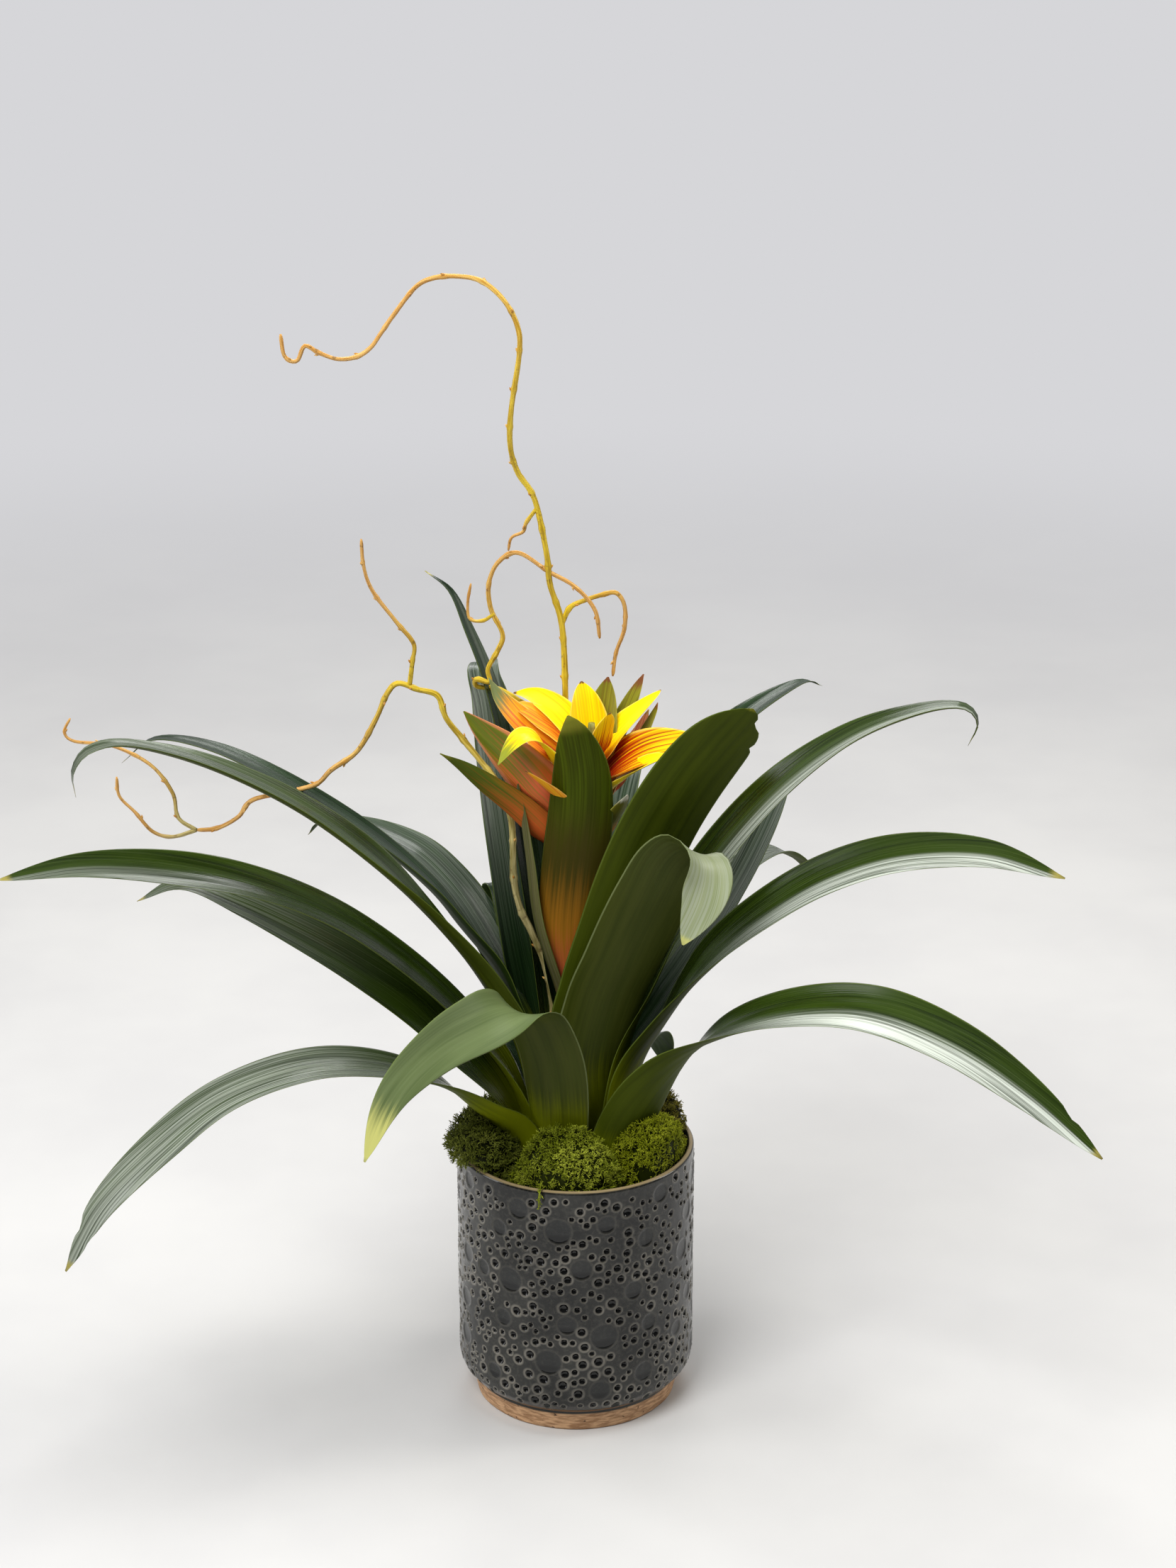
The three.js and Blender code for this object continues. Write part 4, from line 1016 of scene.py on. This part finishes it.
def glaze_material():
    """Slate glaze with black craters in paler rings and shallow discs, painted shade low in each disc, over
    bare clay at the foot.
    """
    shading = new_surface("crater_glaze")
    here = shading.here()
    height = shading.parts(here)[2]
    hole = shading.number("hole")
    disc = shading.number("disc")
    low = shading.number("low")
    cloud = shading.fit(shading.noise(here, 26, 3), 0.35, 0.65)
    speck = shading.fit(shading.noise(here, 420, 3), 0.45, 0.72)
    color = shading.mix(cloud, (16, 17, 15), (40, 40, 37))
    color = shading.mix(shading.times(speck, 0.25), color, (84, 82, 74))
    inside_disc = shading.fit(disc, 0.4, -1.6)
    color = shading.mix(shading.times(inside_disc, 0.5), color, (34, 36, 36))
    # Painted shade: a dark crescent low in each disc, where the dip in the glaze is shaded.
    painted_crescent_shade = shading.times(inside_disc, shading.fit(low, 0.15, 0.5))
    color = shading.mix(shading.times(painted_crescent_shade, 0.9), color, (6, 7, 7))
    outline = shading.times(shading.fit(disc, -1.2, 0.0), shading.fit(disc, 1.4, 0.2))
    color = shading.mix(shading.times(outline, 0.2), color, (96, 93, 84))
    ring = shading.times(shading.fit(hole, 0.7, 0.95), shading.fit(hole, 1.5, 0.98))
    ring = shading.times(ring, shading.fit(cloud, 0, 1, 0.3, 0.62))
    color = shading.mix(ring, color, (136, 131, 120))
    color = shading.mix(shading.fit(hole, 0.88, 0.68), color, (2, 2, 2))
    spread = shading.length(shading.stretch(here, (1, 1, 0)))
    rim = shading.times(shading.fit(height, (POT_HEIGHT - 1.0) * MM, (POT_HEIGHT - 0.2) * MM),
                       shading.fit(spread, (POT_RADIUS - 3.4) * MM, (POT_RADIUS - 2.6) * MM))
    color = shading.mix(rim, color, (150, 132, 98))
    inner = shading.fit(spread, (POT_RADIUS - 3.0) * MM, (POT_RADIUS - 4.0) * MM)
    color = shading.mix(inner, color, (20, 26, 20))
    grain = shading.noise(shading.stretch(here, (1, 1, 5)), 130, 4)
    clay = shading.blend(grain, (150, 112, 78), (204, 164, 124))
    clay = shading.mix(shading.fit(height, 0.012, CLAY_HEIGHT * MM), clay, (132, 94, 62))
    pits = shading.fit(shading.noise(here, 260, 2), 0.66, 0.72)
    clay = shading.mix(pits, clay, (60, 40, 28))
    glazed = shading.number("glaze")
    color = shading.mix(glazed, clay, color)
    shading.set(Base_Color=color, Roughness=shading.fit(glazed, 0, 1, 0.7, 0.1), Specular_IOR_Level=0.42)
    shading.bump(shading.noise(here, 90, 2), 0.25)
    return shading.owner


# ---------------------------------------------------------------- soil, crown and stalk


def soil_material():
    shading = new_surface("potting_mix")
    here = shading.here()
    crumbs = shading.noise(here, 260, 4)
    color = shading.blend(crumbs, (30, 20, 13), (86, 62, 42))
    shading.set(Base_Color=color, Roughness=0.95, Specular_IOR_Level=0.2)
    shading.bump(crumbs, 0.7)
    return shading.owner


def lump(draw, size):
    """A rough crumb: an octahedron's points pushed in and out, with its faces."""
    points = np.array([[1, 0, 0], [0, 1, 0], [-1, 0, 0], [0, -1, 0], [0, 0, 1], [0, 0, -1]], float)
    points = points * draw.uniform(0.6, 1.1, (6, 1)) * size
    turn = draw.uniform(0, 2 * math.pi)
    spin = np.array([[math.cos(turn), -math.sin(turn), 0], [math.sin(turn), math.cos(turn), 0], [0, 0, 1]])
    faces = [[0, 1, 4], [1, 2, 4], [2, 3, 4], [3, 0, 4], [1, 0, 5], [2, 1, 5], [3, 2, 5], [0, 3, 5]]
    return points @ spin.T, faces


def make_soil():
    """The soil that fills the pot, with loose crumbs on top."""
    draw = np.random.default_rng(SEED + 1)
    radius = POT_RADIUS - POT_WALL - GAP
    below = [[0.05, POT_FLOOR + GAP], [radius - 22, POT_FLOOR + GAP], [radius - 14, POT_FLOOR + GAP + 2.5]]
    side = [[radius - 6, 20.5], [radius, 36.5], [radius, 90], [radius, SOIL_TOP - 2.5]]
    top = [[r, SOIL_TOP - 1.6] for r in np.linspace(radius - 0.8, 0.05, 36)]
    profile = np.array(below + side + top)
    sides = 150
    angles = turns(sides)
    bumps = draw.normal(0, 0.35, (len(profile), sides))
    bumps[: len(below + side)] = 0
    heap = Heap()
    heap.add(turned(profile[:, :1], profile[:, 1:] + bumps, angles), ring_faces(len(profile), sides))
    for _ in range(CRUMBS):
        size = draw.uniform(0.7, 2.0)
        crumb, crumb_faces = lump(draw, size)
        reach, turn = (radius - 2.5) * math.sqrt(draw.random()), draw.uniform(0, 2 * math.pi)
        heap.add(crumb + [reach * math.cos(turn), reach * math.sin(turn), SOIL_TOP - 1.4], crumb_faces)
    points, faces, _ = heap.joined()
    make_piece("soil_crumbs", points, faces, [soil_material()], "potting_soil")


def stem_material(name, pale, dark):
    shading = new_surface(name)
    here = shading.here()
    fibre = shading.noise(shading.stretch(here, (900, 900, 40)), detail=3)
    color = shading.blend(fibre, dark, pale)
    shading.set(Base_Color=color, Roughness=0.5, Specular_IOR_Level=0.35)
    shading.bump(fibre, 0.1)
    return shading.owner


def make_crown():
    """The short stem with the scars of old leaves, a cone that the leaves grow from."""
    sides = 96
    knots = [
        [0.05, SOIL_TOP + GAP], [20, SOIL_TOP + GAP], [CROWN_RADIUS - 1, SOIL_TOP + GAP],
        [CROWN_RADIUS, CROWN_EDGE], [CROWN_TOP_RADIUS, CROWN_TOP], [STALK_RADIUS + 2, STALK_FOOT - GAP],
        [0.05, STALK_FOOT - GAP],
    ]
    part = np.linspace(0, 1, len(knots))
    steps = np.linspace(0, 1, 40)
    knots = np.array(knots)
    profile = np.stack([np.interp(steps, part, knots[:, 0]), np.interp(steps, part, knots[:, 1])], -1)
    angles = turns(sides)
    scales = 1 - 0.02 * (np.sin(angles * 9 + profile[:, 1:] / 3) > 0.6)
    radius = profile[:, :1] * scales
    points = turned(radius, profile[:, 1:], angles)
    material = stem_material("crown_tissue", (140, 138, 62), (92, 92, 30))
    make_piece("crown_scales", points, ring_faces(len(profile), sides), [material], "crown")


def make_stalk():
    """The ribbed flower stalk, which leans to the right."""
    sides, rows = 40, 90
    height = np.linspace(STALK_FOOT, HEAD_TOP, rows + 1)[:, None]
    angles = turns(sides)
    ribs = 1 - 0.03 * np.cos(10 * angles) - 0.03 * np.sin(height / 6)
    radius = stalk_radius(height) * ribs
    points = turned(radius, height, angles, stalk_x(height))
    material = stem_material("stalk_tissue", (150, 150, 84), (104, 108, 50))
    make_piece("stalk_ribbed", points, ring_faces(rows + 1, sides), [material], "flower_stalk")


# ---------------------------------------------------------------- willow


def willow_material():
    """Golden bark, olive near the soil and orange towards the tips, with fine lengthwise grain."""
    shading = new_surface("willow_bark")
    here = shading.here()
    grain = shading.vector("grain")
    fibre = shading.noise(shading.stretch(grain, (6, 0.5, 1)), detail=4)
    spots = shading.noise(here, 240, 2)
    age = shading.number("age")
    height = shading.parts(here)[2]
    golden = shading.blend(fibre, (176, 142, 14), (226, 196, 52))
    olive = shading.blend(fibre, (122, 112, 60), (190, 176, 124))
    tan = shading.blend(fibre, (182, 126, 52), (220, 176, 104))
    color = shading.mix(shading.fit(height, 0.345, 0.485), olive, golden)
    color = shading.mix(shading.fit(age, 0.62, 0.85), color, tan)
    color = shading.mix(shading.times(shading.fit(spots, 0.6, 0.72), 0.6), color, (92, 62, 28))
    shading.set(Base_Color=color, Roughness=0.42, Specular_IOR_Level=0.45)
    shading.bump(fibre, 0.2)
    return shading.owner


def shoot_mesh(shoot, draw, sides=12):
    """A knobbly tube: its points, faces and grain, and its middle line, directions and radii."""
    spine = np.array(shoot["points"], float)
    rows = max(24, int(even_steps(spine, 10)[1] / 1.6))
    t, length = even_steps(spine, rows)
    middle = curve_at(spine, t)
    step = 1e-3
    along = unit(curve_at(spine, np.minimum(1, t + step)) - curve_at(spine, np.maximum(0, t - step)))
    normal = np.empty_like(along)
    normal[0] = unit(np.cross(along[0], [0.3, 1, 0.1]))
    for row in range(1, rows + 1):
        carried = normal[row - 1] - (normal[row - 1] @ along[row]) * along[row]
        normal[row] = unit(carried)
    binormal = np.cross(along, normal)
    part = np.linspace(0, 1, rows + 1)
    radius = shoot["radii"][0] + (shoot["radii"][1] - shoot["radii"][0]) * part
    for at in np.arange(draw.uniform(8, 20), length - 4, 24):
        radius = radius * (1 + 0.22 * np.exp(-(((part * length - at) / 1.8) ** 2)))
    radius = radius * (1 - 0.5 * smooth_step((part * length - length + 2.5) / 2.5))
    angles = turns(sides)
    knobs = 1 + 0.05 * np.sin(2 * angles + part[:, None] * length / 5)
    knobs = knobs + draw.normal(0, 0.02, (rows + 1, sides))
    ring = radius[:, None] * knobs
    points = rings_along(middle, ring, angles, normal[:, None], binormal[:, None])
    turn = np.broadcast_to(angles / (2 * math.pi), ring.shape)
    reach = np.broadcast_to(part[:, None] * length / 10, ring.shape)
    grain = np.stack([np.sin(2 * math.pi * turn) * 0.5, reach, np.cos(2 * math.pi * turn)], -1)
    return points, ring_faces(rows + 1, sides), grain.reshape(-1, 3), middle, along, radius


def bud_mesh(base, along, outward, size):
    """A small pointed bud that leans along the shoot."""
    rings, sides = 6, 8
    axis = unit(along + 0.7 * outward)
    right = unit(np.cross(axis, outward))
    front = np.cross(right, axis)
    part = np.linspace(0, 1, rings)
    radius = size * 0.42 * np.sqrt(np.maximum(0.002, 1 - part**2)) * (0.7 + 0.5 * part * (1 - part) * 4)
    angles = turns(sides)
    middle = base + part[:, None] * size * 1.9 * axis
    return rings_along(middle, radius[:, None], angles, right, front), ring_faces(rings, sides)


def make_willow(name, shoots, seed, material):
    """A willow branch: its shoots, with buds along them."""
    draw = np.random.default_rng(seed)
    heap = Heap()
    for index, shoot in enumerate(shoots):
        tube, faces, grain, middle, along, radius = shoot_mesh(shoot, draw)
        start = 0 if index == 0 else 0.6
        age = start + (1 - start) * np.repeat(np.linspace(0, 1, len(middle)), len(tube) // len(middle))
        heap.add(tube, faces, grain=grain, age=age)
        for row in range(9, len(middle) - 3, 15):
            outward = unit(np.cross(along[row], draw.normal(0, 1, 3)))
            bud, faces = bud_mesh(middle[row] + outward * radius[row] * 0.7, along[row], outward, 1.5)
            heap.add(bud, faces, grain=np.tile([0.3, 0.2 * row, 0.1], (len(bud), 1)), age=np.ones(len(bud)))
    points, faces, values = heap.joined()
    make_piece(name + "_bark", points, faces, [material], name, values)


# ---------------------------------------------------------------- moss


def moss_material(name, dark, body, bright):
    """Branching moss: painted shade darkens it towards its heart; yellow-green at its tips."""
    shading = new_surface(name)
    here = shading.here()
    growth = shading.number("growth")
    light = shading.number("light")
    patch = shading.fit(shading.noise(here, 180, 3), 0.35, 0.65, -0.25, 0.25)
    color = shading.mix(shading.fit(shading.math("ADD", light, patch), 0.0, 1.0), body, bright)
    # Painted shade: darker towards the heart of the clump, by how far out of the shade a twig is.
    color = shading.mix(shading.fit(growth, 0.05, 0.6), dark, color)
    shading.set(Base_Color=color, Roughness=0.8, Specular_IOR_Level=0.2)
    return shading.owner


def moss_lumps(name, clump, draw):
    """The small cushions of a clump: rows of [x, y, z, radius, light]."""
    middle, size = np.array(clump["at"], float), np.array(clump["size"], float)
    lumps = []
    for _ in range(LUMP_TRIES):
        way = unit(draw.normal(0, 1, 3))
        radius = draw.uniform(3.6, 6.6)
        skirt = np.array([1.1, 1.1, 1]) if way[2] < 0.1 else 1.0
        spot = middle + way * (size - 0.8 * radius) * skirt * draw.uniform(0.94, 1.04)
        light = draw.uniform(0, 0.55)
        if spot[2] < SOIL_TOP + 1:
            continue
        for x, y, z, reach in MOSS_BUMPS.get(name, []):
            near = math.dist(spot, (x, y, z)) / reach
            if near < 1:
                spot = spot + unit(spot - middle) * 2.5 * (1 - near)
                # Painted highlight: a bump's cushions are brighter.
                light = 0.55 + 0.3 * draw.random()
        over_rim = name == "moss_left" and spot[2] > POT_HEIGHT + 3
        limit = MOSS_OVERHANG if over_rim else POT_RADIUS - POT_WALL
        spread = math.hypot(spot[0], spot[1])
        spot[:2] *= min(1, (limit - 0.7 * radius) / spread)
        if all(math.dist(spot, other[:3]) > 0.6 * (radius + other[3]) for other in lumps):
            lumps.append([*spot, radius, light])
    return np.array(lumps)


def twigs(starts, ways, lengths, radii, growth):
    """Closed three-sided twigs: their points, faces, how far out of the painted shade they are, and their
    ends.
    """
    ends = starts + ways * lengths[:, None]
    helper = np.where(np.abs(ways[:, 2:3]) < 0.9, [[0, 0, 1.0]], [[1.0, 0, 0]])
    right = unit(np.cross(ways, helper))
    front = np.cross(ways, right)
    angles = turns(3)
    spoke = np.cos(angles)[None, :, None] * right[:, None] + np.sin(angles)[None, :, None] * front[:, None]
    low = starts[:, None] + spoke * radii[:, None, None]
    high = ends[:, None] + spoke * (radii * 0.72)[:, None, None]
    points = np.concatenate([low, high], axis=1).reshape(-1, 3)
    shape = [[0, 1, 4, 3], [1, 2, 5, 4], [2, 0, 3, 5]]
    ends_shape = [[2, 1, 0], [3, 4, 5]]
    first = np.arange(len(starts))[:, None, None] * 6
    walls = (first + np.array(shape)).reshape(-1, 4).tolist()
    faces = walls + (first + np.array(ends_shape)).reshape(-1, 3).tolist()
    grown = np.repeat(np.stack([growth, growth + 0.2], -1), 3, axis=1).reshape(-1)
    return points, faces, grown, ends


def clear_of_pot(points, name):
    """Whether points lie outside the pot's wall, and past the rim only in the clump that hangs over it."""
    spread = np.hypot(points[:, 0], points[:, 1])
    inside = spread < POT_RADIUS - POT_WALL - 0.4
    if name != "moss_left":
        return inside | ((spread < POT_RADIUS - POT_WALL + 1) & (points[:, 2] > POT_HEIGHT + 0.4))
    outside = (spread > POT_RADIUS + 0.5) & (points[:, 2] > POT_HEIGHT - 4)
    return inside | outside | (points[:, 2] > POT_HEIGHT + 0.4)


def hanging_tuft(draw):
    """Strands of moss that hang over the rim: starts, ways and lengths of their twigs."""
    path = np.array(RIM_TUFT, float)
    starts, ways, lengths = [], [], []
    for _ in range(TUFT_STRANDS):
        strand = path + draw.normal(0, 0.7, path.shape)
        strand[:, 1] = np.minimum(strand[:, 1], np.where(path[:, 2] < POT_HEIGHT + 1, -POT_RADIUS + 3.0, 0))
        for start, end in zip(strand[:-1], strand[1:]):
            starts.append(start)
            ways.append(unit(end - start))
            lengths.append(math.dist(start, end))
            starts.append(end)
            ways.append(unit(draw.normal(0, 1, 3) + [0, -0.8, 0]))
            lengths.append(draw.uniform(1.0, 2.0))
    return np.array(starts), np.array(ways), np.array(lengths)


def moss_heart(name, middle, size, draw):
    """The rough cushion inside the twigs, painted dark as shade, kept clear of the pot and the soil."""
    polar = np.linspace(0.03, math.pi - 0.03, HEART_ROWS)[:, None]
    ball = turned(np.sin(polar), np.cos(polar), turns(HEART_SIDES))
    heart = middle + ball * size * (0.86 + draw.normal(0, 0.012, (len(ball), 1)))
    over_rim = (heart[:, 2] > POT_HEIGHT + 3) & (name == "moss_left")
    limit = np.where(over_rim, HEART_OVERHANG, POT_RADIUS - POT_WALL - 1.5)
    heart[:, :2] *= np.minimum(1, limit / np.hypot(heart[:, 0], heart[:, 1]))[:, None]
    heart[:, 2] = np.maximum(heart[:, 2], SOIL_TOP + GAP)
    return heart


def make_moss(name, clump, seed, material):
    """A clump of moss: twigs that fork from many small cushions, round a heart painted dark as shade."""
    draw = np.random.default_rng(seed)
    middle, size = np.array(clump["at"], float), np.array(clump["size"], float)
    lumps = moss_lumps(name, clump, draw)
    stems = np.repeat(lumps, MOSS_STEMS, axis=0)
    out = unit((stems[:, :3] - middle) / size**2)
    ways = unit(draw.normal(0, 1, out.shape) + 0.9 * out)
    starts = stems[:, :3] + ways * stems[:, 3:4] * 0.5
    light = stems[:, 4]
    heads = unit(ways + draw.normal(0, 0.5, ways.shape))
    heap = Heap()
    for level, (share, radius, forks) in enumerate(MOSS_FORKS):
        if forks > 1:
            starts, ways = np.repeat(starts, forks, axis=0), np.repeat(ways, forks, axis=0)
            heads, light = np.repeat(heads, forks, axis=0), np.repeat(light, forks)
            heads = unit(heads + 0.12 * ways + draw.normal(0, 0.85, ways.shape))
        lengths = share * draw.uniform(0.75, 1.25, len(starts))
        ends = starts + heads * lengths[:, None]
        clear = clear_of_pot(ends, name) & (ends[:, 2] > SOIL_TOP + GAP)
        kept = (values[clear] for values in (starts, ways, heads, light, lengths))
        starts, ways, heads, light, lengths = kept
        # Twigs that fork further out stand further out of the painted shade.
        growth = np.full(len(starts), 0.3 * level)
        points, faces, grown, starts = twigs(starts, heads, lengths, np.full(len(starts), radius), growth)
        heap.add(points, faces, growth=grown, light=np.repeat(light, 6))
    if name == "moss_front":
        starts, heads, lengths = hanging_tuft(draw)
        growth = np.full(len(starts), 0.5)
        points, faces, grown, _ = twigs(starts, heads, lengths, np.full(len(starts), 0.3), growth)
        heap.add(points, faces, growth=grown, light=np.full(len(points), 0.35))
    heart = moss_heart(name, middle, size, draw)
    faces = [face[::-1] for face in ring_faces(HEART_ROWS, HEART_SIDES)]
    # The heart gets the darkest colour, as painted shade.
    heap.add(heart, faces, growth=np.zeros(len(heart)), light=np.zeros(len(heart)))
    points, faces, values = heap.joined()
    make_piece(name + "_tufts", points, faces, [material], name, values)


# ---------------------------------------------------------------- the plant


make_pot()
make_soil()
make_crown()
make_stalk()

leaf_sets = leaf_materials()
for index, (name, leaf) in enumerate(LEAVES.items()):
    blade = leaf_blade(leaf)
    make_blade(name, blade, leaf_sets[blade["look"]], SEED + 10 + index)

bract_sets = bract_materials()
for index, (name, bract) in enumerate(BRACTS.items()):
    blade = bract_blade(bract)
    make_blade(name, blade, {**leaf_sets, **bract_sets}[blade["look"]], SEED + 60 + index)

bark = willow_material()
for index, (name, shoots) in enumerate(WILLOW.items()):
    make_willow(name, shoots, SEED + 100 + index, bark)

for index, (name, clump) in enumerate(MOSS.items()):
    material = moss_material(f"{name}_green", *clump["colors"])
    make_moss(name, clump, SEED + 120 + index, material)

# ---------------------------------------------------------------- floor, light and camera


def make_floor():
    """A pale floor that turns into an evenly lit sweep away from the plant."""
    mesh = bpy.data.meshes.new("floor")
    reach, sides = 60.0, 96
    ring = [[reach * math.cos(a), reach * math.sin(a), 0] for a in turns(sides)]
    mesh.from_pydata(ring, [], [list(range(sides))])
    floor = bpy.data.objects.new("floor", mesh)
    bpy.context.scene.collection.objects.link(floor)
    shading = new_surface("floor_plaster")
    here = shading.here()
    away = shading.length(here)
    far = shading.fit(away, 0.9, 2.6)
    cloud = shading.fit(shading.noise(here, 3.5, 4), 0.3, 0.7)
    near = shading.mix(cloud, (200, 199, 198), (208, 207, 205))
    shading.set(Base_Color=shading.mix(far, near, (0, 0, 0)), Roughness=0.85, Specular_IOR_Level=0.0)
    seen = shading.camera_sees()
    glow = shading.times(far, shading.fit(seen, 0, 1, FLOOR_GLOW, 1.0))
    shading.set(Emission_Color=tint(214, 214, 217), Emission_Strength=glow)
    mesh.materials.append(shading.owner)


def add_light(name, place, aim, width, height, power, color=(1, 1, 1), glossy=True):
    """A soft rectangular light at place, in metres, turned to face aim; glossy says if it is mirrored."""
    light = bpy.data.lights.new(name, "AREA")
    light.shape = "RECTANGLE"
    light.size, light.size_y = width, height
    light.energy = power
    light.color = color
    lamp = bpy.data.objects.new(name, light)
    lamp.location = place
    way = np.array(aim, float) - np.array(place, float)
    flat = math.hypot(way[0], way[1])
    lamp.rotation_euler = (math.atan2(flat, -way[2]), 0, math.atan2(way[1], way[0]) - math.pi / 2)
    lamp.visible_camera = False
    lamp.visible_glossy = glossy
    bpy.context.scene.collection.objects.link(lamp)


FLOOR_GLOW = 0.35
FRONT_GLOW = 0.1
BACK_GLOW = 0.5
TOP_GLOW = 0.2
SEEN_GLOW = 0.75


def make_world():
    """A studio that is bright low down behind the plant and dim in front, and even to the camera."""
    world = bpy.data.worlds.new("studio")
    bpy.context.scene.world = world
    shading = Shading(world)
    way = shading.add("TexCoord").outputs["Generated"]
    _, back, rise = shading.parts(way)
    low = shading.fit(back, -0.3, 0.5, FRONT_GLOW, BACK_GLOW)
    high = shading.fit(rise, 0.35, 0.75)
    glow = shading.math("ADD", shading.times(low, shading.math("SUBTRACT", 1.0, high)),
                        shading.times(high, TOP_GLOW))
    seen = shading.camera_sees()
    rest = shading.times(glow, shading.math("SUBTRACT", 1.0, seen))
    glow = shading.math("ADD", rest, shading.times(seen, SEEN_GLOW))
    sky = world.node_tree.nodes["Background"]
    sky.inputs["Color"].default_value = (0.97, 0.98, 1.0, 1.0)
    world.node_tree.links.new(glow, sky.inputs["Strength"])


def make_lights():
    aim = (0, 0, 0.3)
    add_light("key_light", (-0.8, -1.5, 2.2), aim, 1.3, 1.0, 50, glossy=False)
    add_light("overhead_light", (0.1, 0.1, 2.3), aim, 1.4, 1.2, 34, glossy=False)
    add_light("back_light", (0.1, 1.9, 1.8), aim, 1.0, 0.5, 10)
    add_light("left_light", (-2.0, -0.2, 1.0), aim, 0.7, 1.6, 13)
    add_light("right_light", (1.9, 0.3, 1.3), aim, 0.6, 1.4, 13, (1.0, 0.96, 0.9))


def make_camera():
    """The photograph's view: from the front, looking down by about 20 degrees."""
    data = bpy.data.cameras.new("camera")
    data.lens = 77
    data.sensor_width = 36
    camera = bpy.data.objects.new("camera", data)
    camera.location = (0.0079, -1.917, 1.118)
    camera.rotation_euler = (math.radians(90 - 20.2), 0, 0)
    bpy.context.scene.collection.objects.link(camera)
    bpy.context.scene.camera = camera
    bpy.context.scene.view_settings.view_transform = "Standard"


make_floor()
make_world()
make_lights()
make_camera()
